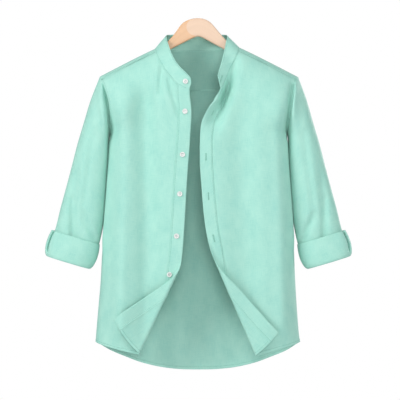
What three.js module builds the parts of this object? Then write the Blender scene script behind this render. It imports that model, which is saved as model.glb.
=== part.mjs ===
// Mandarin collar shirt on a wooden hanger, in millimetres.
// +Z is up, the front of the shirt faces -Y and +X is the viewer's right.
// The origin is the top of the hanger's crown, where the hanger is held.
// Left and right in the names of pieces are the wearer's, so the left pieces lie on +X.

import * as THREE from 'three';

// Cloth walls and the gap between sewn pieces
const CLOTH = 1.2;
const DOUBLED_CLOTH = 2.2;
const SEAM_GAP = 0.3;
const STITCH_SHIFT = 0.22;
const COLLAR_LIFT = 1.2;

// Torso: the shoulder ridge falls away from the neck, and below it the cloth rounds out to its full depth
const TORSO = {
  ridgeApex: -8.2,
  ridgeSlope: 0.542,
  ridgeRound: 60,
  shoulderDrop: 130,
  sideTurn: 90,
  underarm: -265,
  armholeReach: 30,
  armholeRise: 80,
  hemAtSide: -745,
  shoulderTip: -136,
  tipReach: 228,
  foldEasing: 30,
};

// Half depths of the torso at the front and the back
const DEPTHS = [
  { z: -70, front: 55, back: 46 },
  { z: -200, front: 60, back: 50 },
  { z: -400, front: 62, back: 50 },
  { z: -600, front: 60, back: 46 },
  { z: -815, front: 56, back: 40 },
];

// Armholes and side seams, from the shoulder tips down
const SIDES = [
  { z: -136, low: -227, high: 229 },
  { z: -146, low: -221, high: 223 },
  { z: -175, low: -210, high: 218.5 },
  { z: -204, low: -203.5, high: 214 },
  { z: -235, low: -202.5, high: 209 },
  { z: -265, low: -203.5, high: 204.5 },
  { z: -330, low: -206.5, high: 206.5 },
  { z: -400, low: -211, high: 211 },
  { z: -471, low: -216.2, high: 216 },
  { z: -534, low: -221, high: 219.5 },
  { z: -605, low: -225, high: 222.5 },
  { z: -664, low: -230, high: 226 },
  { z: -722, low: -235, high: 230.5 },
  { z: -745, low: -236.5, high: 233.5 },
];

// Collar seam on each front, from the front edge up to the yoke
const NECK_LOW = [
  { x: -20.9, z: -165 },
  { x: -32, z: -163.5 },
  { x: -46.7, z: -156 },
  { x: -58.9, z: -143.8 },
  { x: -77.5, z: -121 },
  { x: -93, z: -94 },
  { x: -98.4, z: -79 },
];
const NECK_HIGH = [
  { x: 51.5, z: -170 },
  { x: 56.5, z: -156 },
  { x: 66, z: -133 },
  { x: 77.5, z: -109 },
  { x: 88, z: -87.5 },
  { x: 92.4, z: -76.3 },
];

// Collar seam on the yoke: drop below the ridge, less than zero on the front
const NECK_YOKE = [
  { x: 98.4, drop: -8 },
  { x: 100.2, drop: -1.5 },
  { x: 98, drop: 2.2 },
  { x: 90, drop: 7 },
  { x: 74, drop: 15.5 },
  { x: 50, drop: 26 },
  { x: 24, drop: 33 },
  { x: 0, drop: 35.3 },
];
const NECK_YOKE_HIGH_SCALE = 0.94;
const YOKE = { frontDrop: 8, backSeam: -165 };

// Flat outlines of the two front edges, before the corners turn, and the width of each band
const EDGE_LOW = [
  { z: -165, x: -20.9, band: 27 },
  { z: -181, x: -20.5, band: 27 },
  { z: -201, x: -18, band: 27 },
  { z: -222, x: -16.8, band: 28 },
  { z: -246, x: -17.9, band: 28 },
  { z: -307, x: -21.9, band: 28 },
  { z: -354, x: -25.5, band: 28 },
  { z: -412, x: -29, band: 28 },
  { z: -471, x: -32.4, band: 28 },
  { z: -532, x: -36.8, band: 28 },
  { z: -600, x: -43, band: 28 },
  { z: -662, x: -40, band: 28 },
  { z: -729, x: -33.5, band: 28 },
  { z: -767, x: -31, band: 28 },
];
const EDGE_HIGH = [
  { z: -170, x: 51.5, band: 12 },
  { z: -183, x: 47, band: 14 },
  { z: -193, x: 39.6, band: 19.5 },
  { z: -205, x: 26, band: 28 },
  { z: -222, x: 15, band: 31 },
  { z: -240, x: 7.8, band: 29.5 },
  { z: -262, x: 4.6, band: 28 },
  { z: -295, x: 3.5, band: 27 },
  { z: -342, x: 3.9, band: 28 },
  { z: -389, x: 7.4, band: 28 },
  { z: -436, x: 11, band: 28 },
  { z: -483, x: 16.8, band: 28 },
  { z: -517, x: 23.2, band: 28 },
  { z: -575, x: 33, band: 28 },
  { z: -643, x: 37.5, band: 28 },
  { z: -730, x: 48, band: 28 },
  { z: -778, x: 51.3, band: 28 },
];

// Hems, from the side seam to the middle
const HEM_LOW = [
  { x: -236.5, z: -745 },
  { x: -222, z: -750 },
  { x: -206, z: -754.5 },
  { x: -176, z: -762 },
  { x: -135, z: -770.5 },
  { x: -85, z: -773 },
  { x: -31, z: -767 },
];
const HEM_HIGH = [
  { x: 233.5, z: -745 },
  { x: 210, z: -752 },
  { x: 190, z: -757.5 },
  { x: 161, z: -765.5 },
  { x: 131, z: -774 },
  { x: 90, z: -778.5 },
  { x: 51.3, z: -778 },
];
const HEM_BACK = [
  { x: -236.5, z: -745 },
  { x: -204, z: -765.5 },
  { x: -170, z: -780.5 },
  { x: -132, z: -794.5 },
  { x: -88, z: -805 },
  { x: -44, z: -810 },
  { x: 0, z: -811 },
  { x: 44, z: -810 },
  { x: 88, z: -805 },
  { x: 132, z: -794.5 },
  { x: 170, z: -780.5 },
  { x: 204, z: -765.5 },
  { x: 233.5, z: -745 },
];

// Turned-back corners: the fold runs from the front edge to the hem, rolled round a radius
const TURN_LOW = { x0: -57.5, z0: -605, x1: -135, z1: -770, rollTop: 6.5, rollFoot: 5, side: 1 };
const TURN_HIGH = { x0: 42.6, z0: -569.5, x1: 131.3, z1: -775.5, rollTop: 9, rollFoot: 5, side: -1 };

// Soft folds of the fronts and the back: a trough has a depth above zero, a ridge below it
const FRONT_FOLDS = [
  { x0: -123, z0: -205, x1: -125, z1: -735, depth: 10, width: 23 },
  { x0: -172, z0: -225, x1: -180, z1: -705, depth: -6, width: 20 },
  { x0: -84, z0: -120, x1: -88, z1: -172, depth: 5, width: 7 },
  { x0: -66, z0: -148, x1: -47, z1: -215, depth: 5, width: 7 },
  { x0: 66, z0: -160, x1: 44, z1: -235, depth: 11, width: 15 },
  { x0: 94, z0: -235, x1: 104, z1: -560, depth: 9, width: 36 },
  { x0: 182, z0: -240, x1: 192, z1: -690, depth: -6, width: 21 },
  { x0: 200, z0: -345, x1: 212, z1: -690, depth: 3, width: 11 },
];
const BACK_FOLDS = [
  { x0: -118, z0: -230, x1: -128, z1: -740, depth: 6, width: 20 },
  { x0: -42, z0: -260, x1: -52, z1: -760, depth: 5, width: 24 },
  { x0: 36, z0: -240, x1: 30, z1: -700, depth: 4, width: 18 },
  { x0: 112, z0: -230, x1: 126, z1: -750, depth: 6, width: 22 },
];

// Sleeve sections from the armhole to the cuff: outer and inner edges, half depth
const SLEEVE = [
  { outX: 228, outZ: -136, inX: 203.5, inZ: -265, depth: 31 },
  { outX: 248, outZ: -188, inX: 206.4, inZ: -290, depth: 38 },
  { outX: 263.5, outZ: -240, inX: 207.6, inZ: -322, depth: 38 },
  { outX: 279, outZ: -292, inX: 209.8, inZ: -358, depth: 36 },
  { outX: 292.5, outZ: -345, inX: 212.4, inZ: -396, depth: 34 },
  { outX: 305, outZ: -392, inX: 215.2, inZ: -434, depth: 32 },
  { outX: 317.5, outZ: -438, inX: 219.3, inZ: -474, depth: 30 },
  { outX: 329, outZ: -484.5, inX: 229.5, inZ: -521, depth: 28 },
  { outX: 341.7, outZ: -521, inX: 243, inZ: -551, depth: 27 },
];
const SLEEVE_FOLDS = [
  { x0: 282, z0: -365, x1: 291, z1: -520, depth: 4, width: 10 },
  { x0: 242, z0: -275, x1: 262, z1: -420, depth: 3, width: 9 },
  { x0: 226, z0: -178, x1: 214, z1: -258, depth: -5, width: 9 },
  { x0: 212, z0: -175, x1: 206, z1: -245, depth: 7, width: 8 },
  { x0: 262, z0: -470, x1: 240, z1: -500, depth: 3, width: 8 },
];

// Cuff: centre and direction of its axis, and the profile from its hidden top round the lip to its free edge
const CUFF = { x: 283, z: -505, leanX: 0.29, leanZ: -0.957 };
const CUFF_PROFILE = [
  { along: 33, halfWidth: 51.5, halfDepth: 27 },
  { along: 50, halfWidth: 50, halfDepth: 29 },
  { along: 56.5, halfWidth: 48.5, halfDepth: 31 },
  { along: 59.5, halfWidth: 50, halfDepth: 34 },
  { along: 57.5, halfWidth: 53.5, halfDepth: 36.5 },
  { along: 50, halfWidth: 57.5, halfDepth: 37 },
  { along: 34, halfWidth: 60.5, halfDepth: 36 },
  { along: 16, halfWidth: 60, halfDepth: 34 },
  { along: 0, halfWidth: 57.3, halfDepth: 32 },
];

// Free edge of the collar, by its share of the collar seam's length
const COLLAR_EDGE = [
  { at: 0, x: -16.8, y: -57.5, z: -151 },
  { at: 0.02, x: -18.5, y: -57, z: -141 },
  { at: 0.057, x: -29, y: -55, z: -128 },
  { at: 0.093, x: -42, y: -51, z: -115.5 },
  { at: 0.152, x: -57, y: -42, z: -94 },
  { at: 0.235, x: -69.5, y: -22, z: -62 },
  { at: 0.3, x: -74, y: 2, z: -42 },
  { at: 0.37, x: -66, y: 21, z: -37.5 },
  { at: 0.52, x: -4, y: 36, z: -36.5 },
  { at: 0.67, x: 58, y: 21, z: -37.5 },
  { at: 0.74, x: 66, y: 2, z: -42 },
  { at: 0.8, x: 63, y: -20, z: -60 },
  { at: 0.87, x: 56, y: -40, z: -93 },
  { at: 0.93, x: 48, y: -50, z: -121 },
  { at: 0.98, x: 44.6, y: -55, z: -134 },
  { at: 1, x: 45.5, y: -56, z: -141 },
];

// Buttons: heights of the ones on the placket, and the share of the collar for the top one
const BUTTON = { radius: 6, thick: 2.2, rim: 0.4, holeRadius: 1.2, holeSpread: 1.9, phase: 0.19, lift: 0.7 };
const PLACKET_BUTTONS = [
  { z: -216.5, share: 0.5 },
  { z: -315, share: 0.5 },
  { z: -405, share: 0.5 },
  { z: -501, share: 0.45 },
  { z: -589, share: 0.17 },
];
const COLLAR_BUTTON = { column: 1, up: 0.5 };

// Hanger: a flat bar with a crown in the neck and two arms under the shoulders
const HANGER = { thick: 14, round: 3, armEnd: 205, armStart: 92, armRoot: 22, armTip: 16, clearance: 2.5 };
const CROWN_TOP = [
  { x: -80, z: -64.5 },
  { x: -72.5, z: -55.4 },
  { x: -61, z: -43 },
  { x: -50.8, z: -29.7 },
  { x: -43, z: -18.5 },
  { x: -33, z: -8.8 },
  { x: -16, z: -1.8 },
  { x: 0, z: 0 },
  { x: 14, z: -2.4 },
  { x: 27, z: -9.5 },
  { x: 37, z: -20 },
  { x: 47.8, z: -33 },
  { x: 60, z: -47 },
  { x: 69, z: -56 },
  { x: 78, z: -64 },
];
const CROWN_FOOT = [
  { x: 62, z: -74 },
  { x: 30, z: -56.5 },
  { x: 12, z: -46.5 },
  { x: 0, z: -42.5 },
  { x: -12, z: -45.8 },
  { x: -34, z: -56.5 },
  { x: -67, z: -74 },
];

// Grid sizes
const GRID = {
  neckColumns: 7,
  neckShare: 0.3,
  neckFade: 6,
  bandColumns: 5,
  sideColumns: 8,
  frontRows: 14,
  turnFrom: 0.66,
  turnRows: 8,
  turnTo: 0.86,
  footRows: 5,
  rollSpacing: 0.014,
  backColumns: 18,
  backRows: 18,
  yokeShoulderColumns: 7,
  yokeNeckColumns: 9,
  yokeRows: 7,
  sleeveRings: 15,
  sleevePoints: 22,
  sleeveEasing: 0.24,
  collarRows: 3,
  armSteps: 8,
};

// Finishes
const MINT = { color: 0xa2dcc8, roughness: 0.8, metalness: 0 };
const WHITE_PLASTIC = { color: 0xf4f4f2, roughness: 0.3, metalness: 0 };
const PALE_WOOD = { color: 0xe2b98d, roughness: 0.5, metalness: 0 };

const clamp01 = (t) => Math.min(1, Math.max(0, t));
const lerp = (a, b, t) => a + (b - a) * t;
const smooth = (t) => clamp01(t) ** 2 * (3 - 2 * clamp01(t));
const range = (count) => Array.from({ length: count }, (_, i) => i);

// Rises from 0 to 1 as a quarter of a circle does
const quarter = (t) => Math.sqrt(1 - (1 - clamp01(t)) ** 2);

// One column of a table at a value of another, on a smooth curve through the rows
function column(table, key, name, value) {
  const rising = table[0][key] < table[table.length - 1][key];
  const rows = rising ? table : [...table].reverse();
  const place = Math.min(Math.max(value, rows[0][key]), rows[rows.length - 1][key]);
  const last = Math.max(1, rows.findIndex((row, i) => i > 0 && place <= row[key]));
  const slope = (i) => {
    const before = rows[Math.max(0, i - 1)];
    const after = rows[Math.min(rows.length - 1, i + 1)];
    return (after[name] - before[name]) / (after[key] - before[key]);
  };
  const from = rows[last - 1];
  const to = rows[last];
  const span = to[key] - from[key];
  const t = (place - from[key]) / span;
  const rise = t * t * (3 - 2 * t);
  return lerp(from[name], to[name], rise)
    + slope(last - 1) * span * t * (1 - t) ** 2
    - slope(last) * span * t * t * (1 - t);
}

// Even samples along a smooth curve through a table's rows, as flat points
function samplePath(table, names, count) {
  const curve = new THREE.CatmullRomCurve3(
    table.map((row) => new THREE.Vector3(row[names[0]], row[names[1]], 0)),
    false,
    'centripetal',
  );
  return curve.getSpacedPoints(count).map((p) => ({ x: p.x, z: p.y }));
}

// Sum of soft folds at a place, each a bell across a line with tapered ends
function foldShift(folds, x, z) {
  let shift = 0;
  for (const fold of folds) {
    const alongX = fold.x1 - fold.x0;
    const alongZ = fold.z1 - fold.z0;
    const length = Math.hypot(alongX, alongZ);
    const along = ((x - fold.x0) * alongX + (z - fold.z0) * alongZ) / length;
    const across = ((x - fold.x0) * alongZ - (z - fold.z0) * alongX) / length;
    const past = Math.max(0, -along, along - length) / (2 * fold.width);
    shift += fold.depth * Math.exp(-((across / fold.width) ** 2) - past ** 2);
  }
  return shift;
}

// Height of the shoulder ridge
const ridge = (x) => TORSO.ridgeApex - TORSO.ridgeSlope * Math.hypot(x, TORSO.ridgeRound);

// The armhole or side seam on the side of x
const sideOf = (x, z) => column(SIDES, 'z', x < 0 ? 'low' : 'high', z);

// How much further out than the armhole the torso would come to its edge
const reachAt = (z) => TORSO.armholeReach * smooth((z - TORSO.underarm) / TORSO.armholeRise);

// Half depth of the torso at a place that lies a drop below the ridge
function depthAt(x, z, drop, face) {
  const inside = Math.abs(sideOf(x, z)) + reachAt(z) - Math.abs(x);
  const full = column(DEPTHS, 'z', face, z);
  return full * quarter(drop / TORSO.shoulderDrop) * quarter(inside / TORSO.sideTurn);
}

// A point of the front at a place in the front view
function frontPoint(x, z) {
  const y = -SEAM_GAP / 2 - depthAt(x, z, ridge(x) - z, 'front');
  const fade = smooth(-y / TORSO.foldEasing);
  return new THREE.Vector3(x, y + fade * foldShift(FRONT_FOLDS, x, z), z);
}

// A point of the back at a place in the front view
function backPoint(x, z) {
  const y = SEAM_GAP / 2 + depthAt(x, z, ridge(x) - z, 'back');
  return new THREE.Vector3(x, y - smooth(y / TORSO.foldEasing) * foldShift(BACK_FOLDS, x, z), z);
}

// A point of the yoke: the drop is the signed square of the given step, so that the ridge comes out round
function yokePoint(x, step) {
  const drop = step * step;
  const z = ridge(x) - drop;
  const face = step < 0 ? 'front' : 'back';
  return new THREE.Vector3(x, Math.sign(step) * depthAt(x, z, drop, face), z);
}

// Where a place lies on a corner's roll: the way out across the fold, the radius and the cloth wound on it
function windAt(turn, x, z) {
  const length = Math.hypot(turn.x1 - turn.x0, turn.z1 - turn.z0);
  const alongX = (turn.x1 - turn.x0) / length;
  const alongZ = (turn.z1 - turn.z0) / length;
  const outX = -alongZ * turn.side;
  const outZ = alongX * turn.side;
  const along = (x - turn.x0) * alongX + (z - turn.z0) * alongZ;
  const roll = lerp(turn.rollTop, turn.rollFoot, smooth(along / length));
  const wound = (x - turn.x0) * outX + (z - turn.z0) * outZ + roll;
  return { outX, outZ, roll, wound };
}

// A point of a front whose corner is turned back round its roll
function turnedPoint(turn, x, z) {
  const { outX, outZ, roll, wound } = windAt(turn, x, z);
  if (wound <= 0) {
    return frontPoint(x, z);
  }
  const angle = Math.min(wound / roll, Math.PI);
  const out = roll * Math.sin(angle) - Math.max(0, wound - Math.PI * roll) - wound;
  const point = frontPoint(x + out * outX, z + out * outZ);
  point.y -= roll * (1 - Math.cos(angle));
  return point;
}

// A place in a flat patch between four edges, each a function of its share.
// The top edge's bends fade down the patch by the power that the edges give.
function patchPoint(edges, s, t) {
  const { top, bottom, near, far, fade = 1 } = edges;
  const bend = (edge, key) => edge(s)[key] - lerp(edge(0)[key], edge(1)[key], s);
  const blend = (key) => lerp(near(t)[key], far(t)[key], s)
    + (1 - t) ** fade * bend(top, key) + t * bend(bottom, key);
  return { x: blend('x'), z: blend('z') };
}

// The flat patch between four edges, at the given shares across and down
function patch(edges, across, down) {
  return down.map((t) => across.map((s) => patchPoint(edges, s, t)));
}

// A function of the share that follows a row of points placed at the given shares
function through(points, shares) {
  return (share) => {
    const next = Math.max(1, shares.findIndex((at, i) => i > 0 && share <= at + 1e-9));
    const t = (share - shares[next - 1]) / (shares[next] - shares[next - 1]);
    const [from, to] = [points[next - 1], points[next]];
    return { x: lerp(from.x, to.x, t), z: lerp(from.z, to.z, t) };
  };
}

// The direction out of a surface at a flat place, from points a small step away on it
function surfaceNormal(surface, x, z) {
  const step = 0.1;
  const acrossStep = surface(x + step, z).sub(surface(x - step, z));
  const downStep = surface(x, z + step).sub(surface(x, z - step));
  return acrossStep.cross(downStep).normalize();
}

// A closed wall over a patch of flat places on a surface
function wallOn(surface, flat, thickness) {
  const grid = flat.map((row) => row.map((p) => surface(p.x, p.z)));
  const normals = flat.map((row) => row.map((p) => surfaceNormal(surface, p.x, p.z)));
  return wall(grid, normals, thickness, false);
}

// The directions out of a grid of points, from each point's neighbours
function gridNormals(grid, around) {
  const high = grid.length;
  const wide = grid[0].length;
  const at = (i, j) => grid[i][around ? (j + wide) % wide : Math.min(Math.max(j, 0), wide - 1)];
  return grid.map((row, i) => row.map((_, j) => {
    const acrossGrid = at(i, j + 1).clone().sub(at(i, j - 1));
    const downGrid = at(Math.min(i + 1, high - 1), j).clone().sub(at(Math.max(i - 1, 0), j));
    return acrossGrid.cross(downGrid).normalize();
  }));
}

// A closed tube wall round a grid of rings
const tubeWall = (grid, thickness) => wall(grid, gridNormals(grid, true), thickness, true);

// A closed wall of even thickness with a grid of points at its middle
function wall(grid, normals, thickness, around) {
  const high = grid.length;
  const wide = grid[0].length;
  const positions = [];
  for (let i = 0; i < high; i += 1) {
    for (let j = 0; j < wide; j += 1) {
      const outer = grid[i][j].clone().addScaledVector(normals[i][j], thickness / 2);
      const inner = grid[i][j].clone().addScaledVector(normals[i][j], -thickness / 2);
      positions.push(outer.x, outer.y, outer.z, inner.x, inner.y, inner.z);
    }
  }
  const outerAt = (i, j) => 2 * (i * wide + (j % wide));
  const innerAt = (i, j) => outerAt(i, j) + 1;
  const indices = [];
  const quad = (a, b, c, d) => indices.push(a, b, c, a, c, d);
  const columns = around ? wide : wide - 1;
  for (let i = 0; i < high - 1; i += 1) {
    for (let j = 0; j < columns; j += 1) {
      quad(outerAt(i, j), outerAt(i, j + 1), outerAt(i + 1, j + 1), outerAt(i + 1, j));
      quad(innerAt(i, j), innerAt(i + 1, j), innerAt(i + 1, j + 1), innerAt(i, j + 1));
    }
    if (!around) {
      quad(outerAt(i, 0), outerAt(i + 1, 0), innerAt(i + 1, 0), innerAt(i, 0));
      quad(outerAt(i, wide - 1), innerAt(i, wide - 1), innerAt(i + 1, wide - 1), outerAt(i + 1, wide - 1));
    }
  }
  for (let j = 0; j < columns; j += 1) {
    quad(outerAt(0, j), innerAt(0, j), innerAt(0, j + 1), outerAt(0, j + 1));
    quad(outerAt(high - 1, j), outerAt(high - 1, j + 1), innerAt(high - 1, j + 1), innerAt(high - 1, j));
  }
  return facingOut(positions, indices);
}

// A geometry whose faces point out, whichever way its grid ran
function facingOut(positions, indices) {
  let volume = 0;
  const corner = (k) => new THREE.Vector3().fromArray(positions, 3 * indices[k]);
  for (let k = 0; k < indices.length; k += 3) {
    volume += corner(k).dot(corner(k + 1).cross(corner(k + 2)));
  }
  const faces = volume > 0 ? indices : [...indices].reverse();
  const geometry = new THREE.BufferGeometry();
  geometry.setAttribute('position', new THREE.Float32BufferAttribute(positions, 3));
  geometry.setIndex(faces);
  geometry.computeVertexNormals();
  return geometry;
}

const shirt = new THREE.Group();

function add(name, geometry, finish) {
  const mesh = new THREE.Mesh(geometry, new THREE.MeshStandardMaterial(finish));
  mesh.name = name;
  shirt.add(mesh);
  return mesh;
}

// What sets the two fronts apart
const FRONTS = [
  { name: 'right', sign: -1, neck: NECK_LOW, edge: EDGE_LOW, hem: HEM_LOW, turn: TURN_LOW, foot: -767 },
  { name: 'left', sign: 1, neck: NECK_HIGH, edge: EDGE_HIGH, hem: HEM_HIGH, turn: TURN_HIGH, foot: -778 },
];

const edgeAt = (front, z) => column(front.edge, 'z', 'x', z);
const stitchAt = (front, z) => edgeAt(front, z) + front.sign * column(front.edge, 'z', 'band', z);
const hemAt = (front, x) => column(front.hem, 'x', 'z', x);

// The collar seam of a front, split where the band's stitching meets it
function neckOf(front) {
  const fine = samplePath(front.neck, ['x', 'z'], 200);
  const inBand = fine.filter((p) => front.sign * (p.x - stitchAt(front, p.z)) < 0).length - 1;
  const pick = (from, to, count) =>
    range(count + 1).map((i) => fine[Math.round(lerp(from, to, i / count))]);
  return {
    band: pick(0, inBand, GRID.bandColumns),
    panel: pick(inBand, fine.length - 1, GRID.neckColumns),
  };
}

// Rows down a front lie closer together where its corner begins to turn
function frontDown() {
  const { frontRows, turnRows, turnFrom, turnTo } = GRID;
  const above = range(frontRows).map((i) => turnFrom * (i / frontRows) ** 1.15);
  const turning = range(turnRows).map((i) => lerp(turnFrom, turnTo, i / turnRows));
  const below = range(GRID.footRows + 1).map((i) => lerp(turnTo, 1, i / GRID.footRows));
  return [...above, ...turning, ...below];
}

// The line of stitching from the collar seam to the hem, moved sideways by a little
function stitchLine(front, shift) {
  const top = neckOf(front).band[GRID.bandColumns];
  const foot = hemAt(front, stitchAt(front, front.foot));
  return (t) => {
    const z = lerp(top.z, foot, t);
    return { x: (t === 0 ? top.x : stitchAt(front, z)) + shift, z };
  };
}

// The four edges of a front panel, its stitching at share 0 and its side at share 1
function frontEdges(front) {
  const gap = front.sign * STITCH_SHIFT;
  const neck = neckOf(front).panel;
  const neckEnd = neck[GRID.neckColumns];
  const tipX = sideOf(front.sign, TORSO.shoulderTip - YOKE.frontDrop);
  const seamZ = (x) => ridge(x) - YOKE.frontDrop - SEAM_GAP / 2;
  neckEnd.z = seamZ(neckEnd.x);
  neck[0] = { x: neck[0].x + gap, z: neck[0].z };
  const alongNeck = through(neck, neck.map((_, j) => (GRID.neckShare * j) / GRID.neckColumns));
  const top = (s) => {
    if (s <= GRID.neckShare) {
      return alongNeck(s);
    }
    const x = lerp(neckEnd.x, tipX, (s - GRID.neckShare) / (1 - GRID.neckShare));
    return { x, z: seamZ(x) };
  };
  const near = stitchLine(front, gap);
  const far = (t) => {
    const z = lerp(seamZ(tipX), TORSO.hemAtSide, t);
    return { x: t === 0 ? tipX : sideOf(front.sign, z), z };
  };
  const bottom = (s) => {
    const x = lerp(near(1).x, far(1).x, s);
    return { x, z: hemAt(front, x) };
  };
  return { top, bottom, near, far, fade: GRID.neckFade };
}

// Shares across one row of a front panel: some follow the turned corner's roll, the rest run to the side
function frontAcross(front, edges, t) {
  const { neckColumns, neckShare, sideColumns, rollSpacing } = GRID;
  const flapColumns = neckColumns - 5;
  const angleAt = (s) => {
    const p = patchPoint(edges, s, t);
    const wind = windAt(front.turn, p.x, p.z);
    return wind.wound / wind.roll;
  };
  const shareOf = (angle) => {
    let [low, high] = [0, 0.95];
    for (let step = 0; step < 24 && angleAt(0) > angle; step += 1) {
      const middle = (low + high) / 2;
      [low, high] = angleAt(middle) > angle ? [middle, high] : [low, middle];
    }
    return low;
  };
  const easing = smooth(t / GRID.turnFrom);
  const rolled = range(5).map((k) => {
    const column = flapColumns + k + 1;
    const resting = lerp((neckShare * column) / neckColumns, rollSpacing * column, easing);
    return Math.max(shareOf((Math.PI * (4 - k)) / 4), resting);
  });
  const flap = range(flapColumns + 1).map((k) => (rolled[0] * k) / (flapColumns + 1));
  const last = rolled[4];
  const rest = range(sideColumns).map((j) => {
    const left = 1 - (j + 1) / sideColumns;
    return lerp(1, last, left * left);
  });
  return [...flap, ...rolled, ...rest];
}

function frontPanel(front) {
  const edges = frontEdges(front);
  const flat = frontDown().map((t) => frontAcross(front, edges, t).map((s) => patchPoint(edges, s, t)));
  return wallOn((x, z) => turnedPoint(front.turn, x, z), flat, CLOTH);
}

// A point of the band: share 0 is the stitching, share 1 the free edge
function bandPoint(front, z, share) {
  const x = lerp(stitchAt(front, z), edgeAt(front, z), share);
  return turnedPoint(front.turn, x, z);
}

function placket(front) {
  const neck = [...neckOf(front).band].reverse();
  const near = stitchLine(front, -front.sign * STITCH_SHIFT);
  const far = (t) => {
    const z = lerp(neck[GRID.bandColumns].z, front.foot, t);
    return { x: edgeAt(front, z), z };
  };
  neck[0] = near(0);
  const across = range(GRID.bandColumns + 1).map((j) => j / GRID.bandColumns);
  const top = through(neck, across);
  const bottom = through([near(1), far(1)], [0, 1]);
  const flat = patch({ top, bottom, near, far }, across, frontDown());
  return wallOn((x, z) => turnedPoint(front.turn, x, z), flat, DOUBLED_CLOTH);
}

function backPanel() {
  const seam = YOKE.backSeam - SEAM_GAP / 2;
  const across = range(GRID.backColumns + 1)
    .map((j) => (1 - Math.cos((Math.PI * j) / GRID.backColumns)) / 2);
  const down = range(GRID.backRows + 1).map((i) => i / GRID.backRows);
  const edge = (sign) => (t) => {
    const z = lerp(seam, TORSO.hemAtSide, t);
    return { x: sideOf(sign, z), z };
  };
  const near = edge(-1);
  const far = edge(1);
  const top = (s) => ({ x: lerp(near(0).x, far(0).x, s), z: seam });
  const bottom = (s) => {
    const x = lerp(near(1).x, far(1).x, s);
    return { x, z: column(HEM_BACK, 'x', 'z', x) };
  };
  const flat = patch({ top, bottom, near, far }, across, down);
  return wallOn(backPoint, flat, CLOTH);
}

// The yoke's neck edge from the front over both sides of the back, as steps across the ridge
function yokeNeck() {
  const stretch = 8;
  const half = NECK_YOKE.map((row) => ({
    x: row.x,
    step: stretch * Math.sign(row.drop) * Math.sqrt(Math.abs(row.drop)),
  }));
  const path = samplePath(half, ['x', 'step'], GRID.yokeNeckColumns);
  const low = path.map((p) => ({ x: -p.x, z: p.z / stretch }));
  const high = path.map((p) => ({ x: p.x * NECK_YOKE_HIGH_SCALE, z: p.z / stretch }));
  return [...low, ...high.reverse().slice(1)];
}

function yoke() {
  const frontStep = -Math.sqrt(YOKE.frontDrop - SEAM_GAP / 2);
  const neck = yokeNeck();
  neck[0].z = frontStep;
  neck[neck.length - 1].z = frontStep;
  const tipX = (sign) => sideOf(sign, TORSO.shoulderTip - YOKE.frontDrop);
  const shoulder = (sign, neckX) => range(GRID.yokeShoulderColumns)
    .map((j) => ({ x: lerp(tipX(sign), neckX, j / GRID.yokeShoulderColumns), z: frontStep }));
  const outline = [
    ...shoulder(-1, neck[0].x),
    ...neck,
    ...shoulder(1, neck[neck.length - 1].x).reverse(),
  ];
  const seam = YOKE.backSeam + SEAM_GAP / 2;
  const backStep = (x) => Math.sqrt(ridge(x) - seam);
  const down = range(GRID.yokeRows + 1).map((i) => i / GRID.yokeRows);
  const edge = (sign) => (t) => {
    const step = lerp(frontStep, backStep(sideOf(sign, seam)), t);
    const drop = step * step;
    const x = sideOf(sign, ridge(sideOf(sign, TORSO.shoulderTip - drop)) - drop);
    return { x, z: t === 1 ? backStep(x) : step };
  };
  const near = edge(-1);
  const far = edge(1);
  outline[0] = near(0);
  outline[outline.length - 1] = far(0);
  const width = far(0).x - near(0).x;
  const across = range(outline.length).map((j) => j / (outline.length - 1));
  const shares = outline.map((p) => (p.x - near(0).x) / width);
  const top = through(outline, across);
  const bottom = (s) => {
    const x = lerp(near(1).x, far(1).x, through(shares.map((x) => ({ x, z: 0 })), across)(s).x);
    return { x, z: backStep(x) };
  };
  const flat = patch({ top, bottom, near, far }, across, down);
  return wallOn(yokePoint, flat, CLOTH);
}

// The collar seam all round, as points of the pieces it is sewn to
function collarSeam() {
  const low = neckOf(FRONTS[0]);
  const high = neckOf(FRONTS[1]);
  const around = (neck) => [...neck.band, ...neck.panel.slice(1)].map((p) => frontPoint(p.x, p.z));
  const back = yokeNeck().map((p) => yokePoint(p.x, p.z));
  return [...around(low), ...back.slice(1, -1), ...around(high).reverse()];
}

// The free edge of the collar above each point of its seam
function collarEdge(seam) {
  const lengths = [0];
  seam.slice(1).forEach((p, i) => lengths.push(lengths[i] + p.distanceTo(seam[i])));
  return lengths.map((length) => {
    const at = length / lengths[lengths.length - 1];
    return new THREE.Vector3(...['x', 'y', 'z'].map((key) => column(COLLAR_EDGE, 'at', key, at)));
  });
}

// The collar's grid, raised off its seam by the gap
function collarGrid() {
  const seam = collarSeam();
  const edge = collarEdge(seam);
  return range(GRID.collarRows + 1).map((i) => seam.map((p, j) => {
    const start = COLLAR_LIFT / p.distanceTo(edge[j]);
    return p.clone().lerp(edge[j], lerp(start, 1, i / GRID.collarRows));
  }));
}

// A point of the armhole: turn 0 is the shoulder tip, a quarter turn the front
function armholePoint(sign, turn) {
  const top = ridge(TORSO.tipReach);
  const z = lerp(TORSO.underarm, top, (1 + Math.cos(turn)) / 2);
  const x = sideOf(sign, z);
  const face = Math.sin(turn) > 0 ? 'front' : 'back';
  const y = depthAt(x, z, Math.max(0, ridge(x) - z), face);
  return new THREE.Vector3(x, face === 'front' ? -y : y, z);
}

// How far a flattened tube stands out at a turn: a sine with fuller shoulders
function flattened(turn) {
  const fullness = 2.3;
  const bulge = (1 - Math.abs(Math.cos(turn)) ** fullness) ** (1 / fullness);
  return Math.sign(Math.sin(turn)) * bulge;
}

// A point of a sleeve section between its outer and inner edges
function sleeveSection(sign, row, turn) {
  const share = (1 + Math.cos(turn)) / 2;
  const x = lerp(row.inX, row.outX, share);
  const z = lerp(row.inZ, row.outZ, share);
  return new THREE.Vector3(sign * x, -row.depth * flattened(turn), z);
}

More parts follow.
